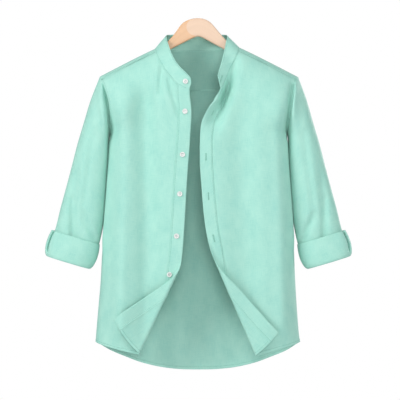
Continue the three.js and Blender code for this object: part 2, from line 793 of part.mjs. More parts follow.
function sleeveRow(share) {
  const table = SLEEVE.map((row, i) => ({ ...row, at: i / (SLEEVE.length - 1) }));
  const row = {};
  for (const key of ['outX', 'outZ', 'inX', 'inZ', 'depth']) {
    row[key] = column(table, 'at', key, share);
  }
  return row;
}

// Rings from the armhole to the cuff; the first ones ease from the armhole's curve to plain sections
function sleeveGrid(sign) {
  const turns = range(GRID.sleevePoints).map((j) => (2 * Math.PI * j) / GRID.sleevePoints);
  return range(GRID.sleeveRings + 1).map((i) => {
    const share = (i / GRID.sleeveRings) ** 1.1;
    const row = sleeveRow(share);
    const armhole = 1 - smooth(share / GRID.sleeveEasing);
    return turns.map((turn) => {
      const point = sleeveSection(sign, row, turn);
      const seamShift = armholePoint(sign, turn).sub(sleeveSection(sign, sleeveRow(0), turn));
      const lap = 3.3 * SEAM_GAP + 0.6 * CLOTH * Math.cos(turn) ** 2;
      seamShift.x += sign * lap;
      point.addScaledVector(seamShift, armhole);
      const hump = Math.abs(Math.sin(turn)) * (1 - armhole) * Math.sign(Math.sin(turn));
      point.y += hump * foldShift(SLEEVE_FOLDS, Math.abs(point.x), point.z);
      return point;
    });
  });
}

// Rings of the turned-up cuff, from inside the sleeve's end round the lip to the free edge
function cuffGrid(sign) {
  const turns = range(GRID.sleevePoints).map((j) => (2 * Math.PI * j) / GRID.sleevePoints);
  return CUFF_PROFILE.map((ring) => turns.map((turn) => {
    const x = CUFF.x + CUFF.leanX * ring.along - CUFF.leanZ * ring.halfWidth * Math.cos(turn);
    const z = CUFF.z + CUFF.leanZ * ring.along + CUFF.leanX * ring.halfWidth * Math.cos(turn);
    return new THREE.Vector3(sign * x, -ring.halfDepth * flattened(turn), z);
  }));
}

// A button: a disc with a round rim, four holes and its back on the cloth
function button(name, centre, facing) {
  const circle = (x, y, radius, sides) => range(sides).map((k) => {
    const turn = (2 * Math.PI * (k + BUTTON.phase)) / sides;
    return new THREE.Vector2(x + radius * Math.cos(turn), y + radius * Math.sin(turn));
  });
  const { radius, thick, rim, holeRadius, holeSpread } = BUTTON;
  const outline = new THREE.Shape(circle(0, 0, radius - rim, 20));
  for (const [sx, sy] of [[1, 1], [-1, 1], [-1, -1], [1, -1]]) {
    outline.holes.push(new THREE.Path(circle(sx * holeSpread, sy * holeSpread, holeRadius, 6)));
  }
  const geometry = new THREE.ExtrudeGeometry(outline, {
    depth: thick - 2 * rim,
    bevelThickness: rim,
    bevelSize: rim,
    bevelSegments: 1,
  });
  geometry.translate(0, 0, rim);
  const mesh = add(name, geometry, WHITE_PLASTIC);
  mesh.position.copy(centre);
  mesh.quaternion.setFromUnitVectors(new THREE.Vector3(0, 0, 1), facing);
}

// A button seated on doubled cloth, facing out of it
function seatButton(name, place, alongX, alongZ) {
  const facing = alongX.clone().sub(place).cross(alongZ.clone().sub(place)).normalize();
  if (facing.y > 0) {
    facing.negate();
  }
  const seat = DOUBLED_CLOTH / 2 + BUTTON.lift;
  button(name, place.clone().addScaledVector(facing, seat), facing);
}

function placketButtons() {
  const front = FRONTS[0];
  PLACKET_BUTTONS.forEach((row, i) => {
    seatButton(
      `button_${i + 1}`,
      bandPoint(front, row.z, row.share),
      bandPoint(front, row.z, row.share + 0.1),
      bandPoint(front, row.z + BUTTON.radius, row.share),
    );
  });
}

// The button on the collar's end, between two of its columns
function collarButton(grid) {
  const { column: j, up } = COLLAR_BUTTON;
  const point = (i, k) => grid[i][k].clone().lerp(grid[i + 1][k], up);
  const place = point(1, j).lerp(point(1, j + 1), 0.5);
  seatButton('button_collar', place, point(1, j + 1), point(2, j));
}

// How far below the ridge a bar of some half thickness fits inside the cloth
function seatBelowRidge(x) {
  const depth = depthAt(x, ridge(x), TORSO.shoulderDrop, 'back');
  const half = HANGER.thick / 2 + HANGER.clearance;
  return CLOTH / 2 + SEAM_GAP + TORSO.shoulderDrop * (1 - Math.sqrt(1 - (half / depth) ** 2));
}

function hanger() {
  const armX = (i) => lerp(HANGER.armStart, HANGER.armEnd, i / GRID.armSteps);
  const armTop = (x) => ridge(x) - seatBelowRidge(x);
  const armFoot = (x, i) => armTop(x) - lerp(HANGER.armRoot, HANGER.armTip, i / GRID.armSteps);
  const outline = [];
  const arm = range(GRID.armSteps + 1);
  [...arm].reverse().forEach((i) => outline.push([-armX(i), armTop(-armX(i))]));
  CROWN_TOP.forEach((p) => outline.push([p.x, p.z]));
  arm.forEach((i) => outline.push([armX(i), armTop(armX(i))]));
  [...arm].reverse().forEach((i) => outline.push([armX(i), armFoot(armX(i), i)]));
  CROWN_FOOT.forEach((p) => outline.push([p.x, p.z]));
  arm.forEach((i) => outline.push([-armX(i), armFoot(armX(i), i)]));
  const shape = new THREE.Shape(outline.map(([x, z]) => new THREE.Vector2(x, z)));
  const geometry = new THREE.ExtrudeGeometry(shape, {
    depth: HANGER.thick - 2 * HANGER.round,
    bevelThickness: HANGER.round,
    bevelSize: HANGER.round,
    bevelOffset: -HANGER.round,
    bevelSegments: 2,
  });
  geometry.rotateX(Math.PI / 2);
  geometry.translate(0, HANGER.thick / 2 - HANGER.round, 0);
  return geometry;
}

// Assembly
add('back', backPanel(), MINT);
add('yoke', yoke(), MINT);
for (const front of FRONTS) {
  add(`front_${front.name}`, frontPanel(front), MINT);
  add(front.sign < 0 ? 'placket_buttons' : 'placket_buttonholes', placket(front), MINT);
  add(`sleeve_${front.name}`, tubeWall(sleeveGrid(front.sign), CLOTH), MINT);
  add(`cuff_${front.name}`, tubeWall(cuffGrid(front.sign), DOUBLED_CLOTH), MINT);
}
const collarRows = collarGrid();
add('collar', wall(collarRows, gridNormals(collarRows, false), DOUBLED_CLOTH, false), MINT);
add('hanger', hanger(), PALE_WOOD);
placketButtons();
collarButton(collarRows);

export default shirt;
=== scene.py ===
"""Looks of a mandarin collar shirt on a wooden hanger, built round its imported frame.

Shapes are worked out in millimetres on the part's own formulas and written in metres. +Z is up,
the front faces -Y and +X is the viewer's right. Left and right in names are the wearer's.
"""
import logging
import math
from dataclasses import dataclass, field
from enum import Enum
from typing import Callable

import bpy
import numpy as np
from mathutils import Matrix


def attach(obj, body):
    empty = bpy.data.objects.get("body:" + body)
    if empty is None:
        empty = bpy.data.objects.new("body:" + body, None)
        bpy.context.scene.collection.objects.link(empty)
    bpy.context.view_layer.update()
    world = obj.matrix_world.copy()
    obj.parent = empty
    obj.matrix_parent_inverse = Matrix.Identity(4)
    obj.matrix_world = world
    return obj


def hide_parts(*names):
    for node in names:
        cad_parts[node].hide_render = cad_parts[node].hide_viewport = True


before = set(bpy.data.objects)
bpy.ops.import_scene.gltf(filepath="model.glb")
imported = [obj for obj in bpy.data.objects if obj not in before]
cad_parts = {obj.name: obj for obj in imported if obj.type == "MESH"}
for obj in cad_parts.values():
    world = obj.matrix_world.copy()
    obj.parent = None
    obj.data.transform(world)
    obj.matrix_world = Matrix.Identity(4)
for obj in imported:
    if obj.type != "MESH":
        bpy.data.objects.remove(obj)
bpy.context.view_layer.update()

logging.basicConfig(level=logging.INFO, format="%(message)s")
LOG = logging.getLogger("shirt")

Array = np.ndarray
Table = dict[str, Array]
Surface = Callable[[Array, Array], Array]

# Metres in a millimetre, and the thickness of one layer of cloth, two and the folded hem
MM = 0.001
SINGLE = 0.8
DOUBLE = 1.7
HEM_THICK = 1.7

# The hem's width, how far above it the close rows begin, how many places they have, over how
# much its thickness eases, and how far below its top its stitching lies, as a share of the
# panel's length
HEM_WIDE = 7.0
HEM_MARGIN = 3.0
HEM_PLACES = 12
HEM_EASING = 1.2
HEM_STITCH_SHARE = 0.003

# How far a wall's rim stands out past its grid, as a share of half its thickness
RIM_SHARE = 0.9

# How full a flattened ring is: 2 is an ellipse, more is squarer
FULLNESS = 2.3

# The angle past which an edge is drawn sharp
SHARP_ANGLE = math.radians(50)

# A full turn, the shares of an edge's two ends, and the samples of a fine curve
FULL_TURN = 2 * math.pi
ENDS = np.array([0.0, 1.0])
FINE_SAMPLES = 3000


def rows(names: str, *values: tuple[float, ...]) -> Table:
    """Columns of a short table, one array for each name.

    Args:
        names: The names of the columns, with spaces between.
        values: The rows.

    Returns:
        The columns by name.
    """
    return dict(zip(names.split(), np.array(values, float).T))


# Half depths of the torso at the front and the back
DEPTHS = rows(
    "z front back",
    (-70, 55, 46), (-200, 60, 50), (-400, 62, 50), (-600, 60, 46), (-815, 56, 40),
)

# Armholes and side seams, from the shoulder tips down
SIDES = rows(
    "z low high",
    (-136, -227, 229), (-146, -221, 223), (-175, -210, 218.5), (-204, -203.5, 214),
    (-235, -202.5, 209), (-265, -203.5, 204.5), (-330, -206.5, 206.5), (-400, -211, 211),
    (-471, -216.2, 216), (-534, -221, 219.5), (-605, -225, 222.5), (-664, -230, 226),
    (-722, -235, 230.5), (-745, -236.5, 233.5),
)

# Collar seams on the fronts, and on the yoke as a drop below the ridge, less than zero in front
NECK_LOW = rows(
    "x z",
    (-20.9, -165), (-32, -163.5), (-46.7, -156), (-58.9, -143.8), (-77.5, -121), (-93, -94),
    (-98.4, -79),
)
NECK_HIGH = rows(
    "x z",
    (51.5, -170), (56.5, -156), (66, -133), (77.5, -109), (88, -87.5), (92.4, -76.3),
)
NECK_YOKE = rows(
    "x drop",
    (98.4, -8), (100.2, -1.5), (98, 2.2), (90, 7), (74, 15.5), (50, 26), (24, 33), (0, 35.3),
)
NECK_YOKE_HIGH_SCALE = 0.94

# Flat outlines of the front edges, before the corners turn, and the width of each band
EDGE_LOW = rows(
    "z x band",
    (-165, -20.9, 27), (-181, -20.5, 27), (-201, -18, 27), (-222, -16.8, 28), (-246, -17.9, 28),
    (-307, -21.9, 28), (-354, -25.5, 28), (-412, -29, 28), (-471, -32.4, 28), (-532, -36.8, 28),
    (-600, -43, 28), (-662, -40, 28), (-729, -33.5, 28), (-767, -31, 28),
)
EDGE_HIGH = rows(
    "z x band",
    (-170, 51.5, 12), (-183, 47, 14), (-193, 39.6, 19.5), (-205, 26, 28), (-222, 15, 31),
    (-240, 7.8, 29.5), (-262, 4.6, 28), (-295, 3.5, 27), (-342, 3.9, 28), (-389, 7.4, 28),
    (-436, 11, 28), (-483, 16.8, 28), (-517, 23.2, 28), (-575, 33, 28), (-643, 37.5, 28),
    (-730, 48, 28), (-778, 51.3, 28),
)

# Hems, from the side seams to the middle
HEM_LOW = rows(
    "x z",
    (-236.5, -745), (-222, -750), (-206, -754.5), (-176, -762), (-135, -770.5), (-85, -773),
    (-31, -767),
)
HEM_HIGH = rows(
    "x z",
    (233.5, -745), (210, -752), (190, -757.5), (161, -765.5), (131, -774), (90, -778.5),
    (51.3, -778),
)
HEM_BACK = rows(
    "x z",
    (-236.5, -745), (-204, -765.5), (-170, -780.5), (-132, -794.5), (-88, -805), (-44, -810),
    (0, -811), (44, -810), (88, -805), (132, -794.5), (170, -780.5), (204, -765.5),
    (233.5, -745),
)

# Soft folds: a line from one place to another, a depth above zero in a trough, and a width
FRONT_FOLDS = (
    (-123, -205, -125, -735, 10, 23), (-172, -225, -180, -705, -6, 20),
    (-84, -120, -88, -172, 5, 7), (-66, -148, -47, -215, 5, 7),
    (66, -160, 44, -235, 11, 15), (94, -235, 104, -560, 9, 36),
    (185, -240, 197, -690, -9, 21), (200, -345, 212, -690, 2, 11),
    (79, -118, 60, -185, 15, 12), (60, -180, 36, -224, 14, 12), (214, -160, 202, -252, 11, 5.5),
    (-121, -205, -90, -700, 11, 33), (-172, -225, -182, -705, -3, 20), (98, -235, 108, -620, 4, 34),
)
BACK_FOLDS = (
    (-118, -230, -128, -740, 6, 20), (-42, -260, -52, -760, 5, 24),
    (36, -240, 30, -700, 4, 18), (112, -230, 126, -750, 6, 22),
)
SLEEVE_FOLDS = (
    (282, -365, 291, -520, 4, 10), (242, -275, 262, -420, 3, 9),
    (262, -470, 240, -500, 3, 8), (290, -420, 288, -500, 4, 7), (262, -455, 236, -512, 4, 7),
)
# Folds of the sleeves beside the armholes: how far out they lie, their width and depth, and
# the height of the roll beyond them
HEAD_RIGHT = rows(
    "z place width depth roll",
    (-146, 0.5, 1.5, 0, 0), (-160, 2, 2.5, 7, -2), (-182, 4, 5, 14, -4), (-210, 4.5, 5, 15, -5),
    (-236, 3.5, 4, 12, -4), (-262, 2, 3, 8, -3), (-290, 1.5, 2.5, 4, -2), (-345, 1.5, 2.5, 0, 0),
)
HEAD_LEFT = rows(
    "z place width depth roll",
    (-140, 2, 5, 0, 0), (-160, 3, 7, -5, 2), (-215, 3, 8, -6, 3), (-262, 3, 7, -5, 2),
    (-310, 3, 7, 0, 0),
)

# Sleeve sections from the armhole to the cuff: outer and inner edges, half depth
SLEEVE = rows(
    "at outX outZ inX inZ depth",
    (0, 228, -136, 203.5, -265, 31), (1, 248, -188, 206.4, -290, 38),
    (2, 263.5, -240, 207.6, -322, 38), (3, 279, -292, 209.8, -358, 36),
    (4, 292.5, -345, 212.4, -396, 34), (5, 305, -392, 215.2, -434, 32),
    (6, 317.5, -438, 219.3, -474, 30), (7, 329, -484.5, 229.5, -521, 28),
    (8, 341.7, -521, 243, -551, 27),
)

# Cuff profile from its hidden top round the lip to its free edge
CUFF_PROFILE = rows(
    "at along halfWidth halfDepth",
    (0, 33, 51.5, 27), (1, 50, 50, 29), (2, 56.5, 48.5, 31), (3, 59.5, 50, 34),
    (4, 57.5, 53.5, 36.5), (5, 50, 57.5, 37), (6, 34, 60.5, 36), (7, 16, 60, 34),
    (8, 0, 57.3, 32),
)

# Free edge of the collar, by its share of the collar seam's length
COLLAR_EDGE = rows(
    "at x y z",
    (0, -16.8, -57.5, -151), (0.02, -18.5, -57, -141), (0.057, -29, -55, -128),
    (0.093, -42, -51, -115.5), (0.152, -57, -42, -94), (0.235, -69.5, -22, -62),
    (0.3, -74, 2, -42), (0.37, -66, 21, -37.5), (0.52, -4, 36, -36.5), (0.67, 58, 21, -37.5),
    (0.74, 66, 2, -42), (0.8, 63, -20, -60), (0.87, 56, -40, -93), (0.93, 48, -50, -121),
    (0.98, 44.6, -55, -134), (1, 45.5, -56, -141),
)

# Button profile, from the middle of its foot out round the rim to its dished middle
BUTTON_PROFILE = np.array([
    (0, 0), (4.6, 0), (5.6, 0.25), (6.0, 0.9), (5.95, 1.6), (5.5, 2.2), (4.9, 2.4), (4.3, 2.2),
    (3.8, 1.8), (3.0, 1.65), (1.5, 1.6), (0, 1.6),
])

# Buttons: heights on the band and shares across it
BUTTON_ROWS = ((-216.5, 0.5), (-315, 0.5), (-405, 0.5), (-501, 0.45), (-589, 0.17))

# Upper and lower lines of the hanger's crown
CROWN_TOP = rows(
    "x z",
    (-80, -64.5), (-72.5, -55.4), (-61, -43), (-50.8, -29.7), (-43, -18.5), (-33, -8.8),
    (-16, -1.8), (0, 0), (14, -2.4), (27, -9.5), (37, -20), (47.8, -33), (60, -47), (69, -56),
    (78, -64),
)
CROWN_FOOT = rows(
    "x z",
    (-67, -74), (-34, -56.5), (-12, -45.8), (0, -42.5), (12, -46.5), (30, -56.5), (62, -74),
)


def lerp(a: Array | float, b: Array | float, t: Array | float) -> Array | float:
    """The value that lies a share t of the way from a to b."""
    return a + (b - a) * t


def smooth(t: Array | float) -> Array | float:
    """Rises from 0 to 1 as three t squared less two t cubed."""
    t = np.clip(t, 0, 1)
    return t * t * (3 - 2 * t)


def quarter(t: Array | float) -> Array | float:
    """Rises from 0 to 1 as a quarter of a circle does."""
    return np.sqrt(1 - (1 - np.clip(t, 0, 1)) ** 2)


def unit(vectors: Array) -> Array:
    """The vectors, each divided by its length."""
    return vectors / np.maximum(np.linalg.norm(vectors, axis=-1, keepdims=True), 1e-12)


def hermite(keys: Array, values: Array, at: Array) -> Array:
    """A smooth curve through values at rising keys.

    Between two keys it is the cubic that meets both values with the slope of the chord between
    each key's neighbours.

    Args:
        keys: Rising keys.
        values: The value at each key.
        at: Where the curve is wanted.

    Returns:
        The curve's values.
    """
    place = np.clip(at, keys[0], keys[-1])
    last = np.clip(np.searchsorted(keys, place, side="left"), 1, len(keys) - 1)
    first = last - 1
    before = np.maximum(np.arange(len(keys)) - 1, 0)
    after = np.minimum(np.arange(len(keys)) + 1, len(keys) - 1)
    slopes = (values[after] - values[before]) / (keys[after] - keys[before])
    span = keys[last] - keys[first]
    t = (place - keys[first]) / span
    return (
        lerp(values[first], values[last], t * t * (3 - 2 * t))
        + slopes[first] * span * t * (1 - t) ** 2
        - slopes[last] * span * t * t * (1 - t)
    )


def column(table: Table, key: str, name: str, at: Array | float) -> Array:
    """One column of a table at values of another, on a smooth curve through the rows.

    Args:
        table: The table.
        key: The column that is looked up, rising or falling.
        name: The column that is wanted.
        at: The values to look up.

    Returns:
        The wanted column's values.
    """
    step = 1 if table[key][0] < table[key][-1] else -1
    return hermite(table[key][::step], table[name][::step], np.asarray(at, float))


def columns(table: Table, key: str, at: Array | float) -> Table:
    """All columns of a table but the key's, at values of the key."""
    return {name: column(table, key, name, at) for name in table if name != key}


def around(count: int) -> Array:
    """Even angles of a full turn."""
    return np.linspace(0, FULL_TURN, count, endpoint=False)


def spread(count: int) -> Array:
    """Even shares from 0 to 1."""
    return np.linspace(0, 1, count + 1)


def distances(line: Array) -> Array:
    """Distances along a line of points."""
    return np.concatenate([[0], np.cumsum(np.linalg.norm(np.diff(line, axis=0), axis=1))])


def resample(curve: Array, count: int) -> Array:
    """Points at even distances along a fine polyline.

    Args:
        curve: The polyline's points.
        count: How many steps there are between the points.

    Returns:
        One more point than the count.
    """
    lengths = distances(curve)
    at = np.linspace(0, lengths[-1], count + 1)
    return np.stack([np.interp(at, lengths, values) for values in curve.T], axis=-1)


def even_path(points: Array, count: int) -> Array:
    """Even samples of a smooth curve through points, whose keys are the roots of the chords.

    Args:
        points: The points.
        count: How many steps there are between the samples.

    Returns:
        One more point than the count.
    """
    chords = np.linalg.norm(np.diff(points, axis=0), axis=1)
    keys = np.concatenate([[0], np.cumsum(np.sqrt(chords))])
    fine = np.linspace(0, keys[-1], FINE_SAMPLES)
    return resample(np.stack([hermite(keys, v, fine) for v in points.T], axis=-1), count)


@dataclass(frozen=True)
class Folds:
    """Soft folds of a surface, as rows of x0, z0, x1, z1, depth and width."""

    table: tuple[tuple[float, ...], ...]

    def shift(self, x: Array, z: Array) -> Array:
        """Sum of the folds at places.

        Each is its depth times the bell exp(-(across / width)^2 - past^2), where past is how
        far a place lies beyond the line's ends, over twice the width.

        Args:
            x: Places across.
            z: Places up.

        Returns:
            The shift at each place.
        """
        total = np.zeros(np.broadcast(x, z).shape)
        for x0, z0, x1, z1, depth, width in self.table:
            along_x, along_z = x1 - x0, z1 - z0
            length = math.hypot(along_x, along_z)
            along = ((x - x0) * along_x + (z - z0) * along_z) / length
            across = ((x - x0) * along_z - (z - z0) * along_x) / length
            past = np.maximum(0, np.maximum(-along, along - length)) / (2 * width)
            total += depth * np.exp(-((across / width) ** 2) - past**2)
        return total


@dataclass(frozen=True)
class Drift:
    """Low, uneven waves of limp cloth: a seeded sum of long sines."""

    seed: int
    size: float
    short: float = 45.0
    long: float = 150.0
    waves: int = 9
    lean: float = 0.35
    upright: float = 0.6

    def shift(self, x: Array, z: Array) -> Array:
        """Sum of sines whose crests stand mostly upright, over the root of their number.

        Args:
            x: Places across.
            z: Places up.

        Returns:
            The shift at each place.
        """
        draw = np.random.default_rng(self.seed)
        total = np.zeros(np.broadcast(x, z).shape)
        for _ in range(self.waves):
            length = draw.uniform(self.short, self.long)
            lean = draw.normal(0, self.lean)
            start = draw.uniform(0, FULL_TURN)
            way = x * math.cos(lean) + z * math.sin(lean) * self.upright
            total += np.sin(FULL_TURN * way / length + start)
        return self.size * total / math.sqrt(self.waves)


@dataclass(frozen=True)
class Turn:
    """A turned-back corner: its fold line, the radius it is rolled round and the side it lies on."""

    x0: float
    z0: float
    x1: float
    z1: float
    roll_top: float
    roll_foot: float
    side: int

    def wind(self, x: Array, z: Array) -> tuple[float, float, Array, Array]:
        """Where places lie on the roll.

        Args:
            x: Flat places across.
            z: Flat places up.

        Returns:
            The way out across the fold, the radius, and the cloth wound past its start.
        """
        length = math.hypot(self.x1 - self.x0, self.z1 - self.z0)
        along_x, along_z = (self.x1 - self.x0) / length, (self.z1 - self.z0) / length
        out_x, out_z = -along_z * self.side, along_x * self.side
        along = (x - self.x0) * along_x + (z - self.z0) * along_z
        roll = lerp(self.roll_top, self.roll_foot, smooth(along / length))
        return out_x, out_z, roll, (x - self.x0) * out_x + (z - self.z0) * out_z + roll


@dataclass(frozen=True)
class Torso:
    """The worn form of the body: a shoulder ridge, full depths below it, and open sides."""

    ridge_apex: float = -8.2
    ridge_slope: float = 0.542
    ridge_round: float = 60
    shoulder_drop: float = 130
    side_turn: float = 90
    underarm: float = -265
    armhole_reach: float = 30
    armhole_rise: float = 80
    hem_at_side: float = -745
    shoulder_tip: float = -136
    tip_reach: float = 228
    fold_easing: float = 30
    front_drop: float = 8
    back_seam: float = -165
    seam_gap: float = 0.3
    yoke_lift: float = 0.55
    swell: float = 4.0
    swell_wide: float = 3
    swell_foot: float = -560
    swell_in: float = 30
    swell_out: float = 60
    front_folds: Folds = Folds(FRONT_FOLDS)
    back_folds: Folds = Folds(BACK_FOLDS)
    front_drift: Drift = Drift(seed=3, size=0.9)
    back_drift: Drift = Drift(seed=8, size=1.1)

    def ridge(self, x: Array | float) -> Array | float:
        """Height of the shoulder ridge: it falls as the root of x squared plus a rounding."""
        return self.ridge_apex - self.ridge_slope * np.hypot(x, self.ridge_round)

    def side(self, sign: int, z: Array | float) -> Array:
        """The armhole or side seam on the side of a sign."""
        return column(SIDES, "z", "low" if sign < 0 else "high", z)

    def half_width(self, x: Array, z: Array) -> Array:
        """Distance from the middle to the armhole or side seam on each place's own side."""
        return np.where(x < 0, -self.side(-1, z), self.side(1, z))

    def depth(self, x: Array, z: Array, drop: Array, face: str) -> Array:
        """Half depth of the body: the full depth, rounded in towards the ridge and the sides.

        Args:
            x: Places across.
            z: Places up.
            drop: How far each place lies below the ridge.
            face: Which column of the depths is used.

        Returns:
            The half depths.
        """
        reach = self.armhole_reach * smooth((z - self.underarm) / self.armhole_rise)
        inside = self.half_width(x, z) + reach - np.abs(x)
        full = column(DEPTHS, "z", face, z)
        return full * quarter(drop / self.shoulder_drop) * quarter(inside / self.side_turn)

    def swelled(self, x: Array, z: Array) -> Array:
        """Places across, moved out beside the sleeves so that the body's edge laps theirs.

        Args:
            x: Places across.
            z: Heights.

        Returns:
            The moved places.
        """
        inside = np.maximum(0, self.half_width(x, z) - np.abs(x)) / self.swell_wide
        beside = smooth((self.underarm - z) / self.swell_in)
        beside = beside * smooth((z - self.swell_foot) / self.swell_out)
        return x + np.sign(x) * self.swell * beside * inside * np.exp(1 - inside)

    def front(self, x: Array, z: Array) -> Array:
        """Points of the front: its depth towards -Y, less the folds where it is deep enough.

        Args:
            x: Places across.
            z: Heights.

        Returns:
            The points.
        """
        y = -self.seam_gap / 2 - self.depth(x, z, self.ridge(x) - z, "front")
        fade = smooth(-y / self.fold_easing)
        shift = self.front_folds.shift(x, z) + self.front_drift.shift(x, z)
        return np.stack([self.swelled(x, z), y + fade * shift, z], axis=-1)

    def back(self, x: Array, z: Array) -> Array:
        """Points of the back: its depth towards +Y, less the folds where it is deep enough.

        Args:
            x: Places across.
            z: Heights.

        Returns:
            The points.
        """
        y = self.seam_gap / 2 + self.depth(x, z, self.ridge(x) - z, "back")
        shift = self.back_folds.shift(x, z) + self.back_drift.shift(x, z)
        return np.stack([self.swelled(x, z), y - smooth(y / self.fold_easing) * shift, z], axis=-1)

    def yoke(self, x: Array, step: Array) -> Array:
        """Points of the yoke, whose drop is the square of a signed step, so the ridge is round.

        Args:
            x: Places across.
            step: Signed steps from the ridge, less than zero on the front.

        Returns:
            The points.
        """
        drop = step * step
        z = self.ridge(x) - drop
        front = self.depth(x, z, drop, "front")
        back = self.depth(x, z, drop, "back")
        return np.stack([x, np.where(step < 0, -front, back), z], axis=-1)

    def turned(self, turn: Turn, x: Array, z: Array) -> Array:
        """Points of a front whose corner is wound half a turn round its roll and lies on it.

        Args:
            turn: The corner's roll.
            x: Flat places across.
            z: Flat places up.

        Returns:
            The points.
        """
        out_x, out_z, roll, wound = turn.wind(x, z)
        wound = np.maximum(wound, 0)
        angle = np.minimum(wound / roll, math.pi)
        out = roll * np.sin(angle) - np.maximum(0, wound - math.pi * roll) - wound
        points = self.front(x + out * out_x, z + out * out_z)
        points[..., 1] -= roll * (1 - np.cos(angle))
        return points


TORSO = Torso()


def surface_normals(surface: Surface, x: Array, z: Array) -> Array:
    """Directions off a surface: the cross product of small steps across it and up it.

    They point to the viewer on the front panels and on the back, so into the shirt on the back.

    Args:
        surface: The surface.
        x: Places across.
        z: Heights.

    Returns:
        The unit directions.
    """
    step = 0.1
    across = surface(x + step, z) - surface(x - step, z)
    up = surface(x, z + step) - surface(x, z - step)
    return unit(np.cross(across, up))


def grid_normals(grid: Array, closed: bool = False) -> Array:
    """Directions out of a grid of points, from the steps between each point's neighbours.

    Args:
        grid: Points by row and column.
        closed: Whether the last column joins the first.

    Returns:
        The unit directions, one for each point.
    """
    if closed:
        across = np.roll(grid, -1, axis=1) - np.roll(grid, 1, axis=1)
    else:
        across = np.gradient(grid, axis=1)
    return unit(np.cross(across, np.gradient(grid, axis=0)))


@dataclass
class Patch:
    """A flat patch between four edges, each a function from shares to places."""

    top: Callable[[Array], Array]
    bottom: Callable[[Array], Array]
    near: Callable[[Array], Array]
    far: Callable[[Array], Array]
    fade: float = 1

    def grid(self, across: Array, down: Array) -> Array:
        """Places in the patch.

        A place is the blend of the near and far edges, plus the bends of the top and bottom
        edges, the first fading down the patch by its power and the second growing evenly.

        Args:
            across: Shares from the near to the far edge.
            down: Shares from the top to the bottom edge.

        Returns:
            Places, by row and column.
        """
        def bend(edge: Callable[[Array], Array]) -> Array:
            """An edge less the straight line between its ends."""
            first, last = edge(ENDS)
            return edge(across) - lerp(first, last, across[:, None])

        t = down[:, None, None]
        straight = lerp(self.near(down)[:, None], self.far(down)[:, None], across[None, :, None])
        return straight + (1 - t) ** self.fade * bend(self.top) + t * bend(self.bottom)


def along(points: Array) -> Callable[[Array], Array]:
    """A function from shares of the count to places on a row of points."""
    shares = np.linspace(0, 1, len(points))
    return lambda s: np.stack([np.interp(s, shares, v) for v in points.T], axis=-1)


@dataclass
class Shape:
    """Points, faces and the cloth's own coordinates at the faces' corners."""

    points: Array
    faces: Array
    uv: Array | None = None

    def joined(self, other: "Shape") -> "Shape":
        """This shape and another with the same kind of faces, as one.

        Args:
            other: The other shape.

        Returns:
            The one shape.
        """
        faces = np.concatenate([self.faces, other.faces + len(self.points)])
        uv = None if self.uv is None else np.concatenate([self.uv, other.uv])
        return Shape(np.concatenate([self.points, other.points]), faces, uv)


def join(shapes: list[Shape]) -> Shape:
    """Several shapes as one.

    Args:
        shapes: Shapes with the same kind of faces.

    Returns:
        The one shape.
    """
    whole = shapes[0]
    for shape in shapes[1:]:
        whole = whole.joined(shape)
    return whole


def lengths_across(grid: Array) -> Array:
    """Distances across each row of a grid, from its first point."""
    steps = np.linalg.norm(np.diff(grid, axis=1), axis=-1)
    return np.pad(np.cumsum(steps, axis=1), ((0, 0), (1, 0)))


def lengths_down(grid: Array) -> Array:
    """Distances down each column of a grid, from its first point."""
    return lengths_across(grid.transpose(1, 0, 2)).T


def wrapped(grid: Array) -> Array:
    """A grid with its first column again at its end."""
    return np.concatenate([grid, grid[:, :1]], axis=1)


def cloth_places(grid: Array, closed: bool) -> Array:
    """Coordinates on the cloth: distances across each row and down each column, in mm.

    Args:
        grid: Points by row and column.
        closed: Whether the last column joins the first.

    Returns:
        The coordinates, with a closed grid's first column again at the end.
    """
    whole = wrapped(grid) if closed else grid
    u, v = lengths_across(whole), lengths_down(whole)
    u = u - u.mean(axis=1, keepdims=True)
    return np.stack([u, np.broadcast_to(v.mean(axis=1, keepdims=True), v.shape)], axis=-1)


def corners(grid: Array) -> list[Array]:
    """The four corners of every cell of a grid, in order round the cell."""
    return [grid[:-1, :-1], grid[:-1, 1:], grid[1:, 1:], grid[1:, :-1]]


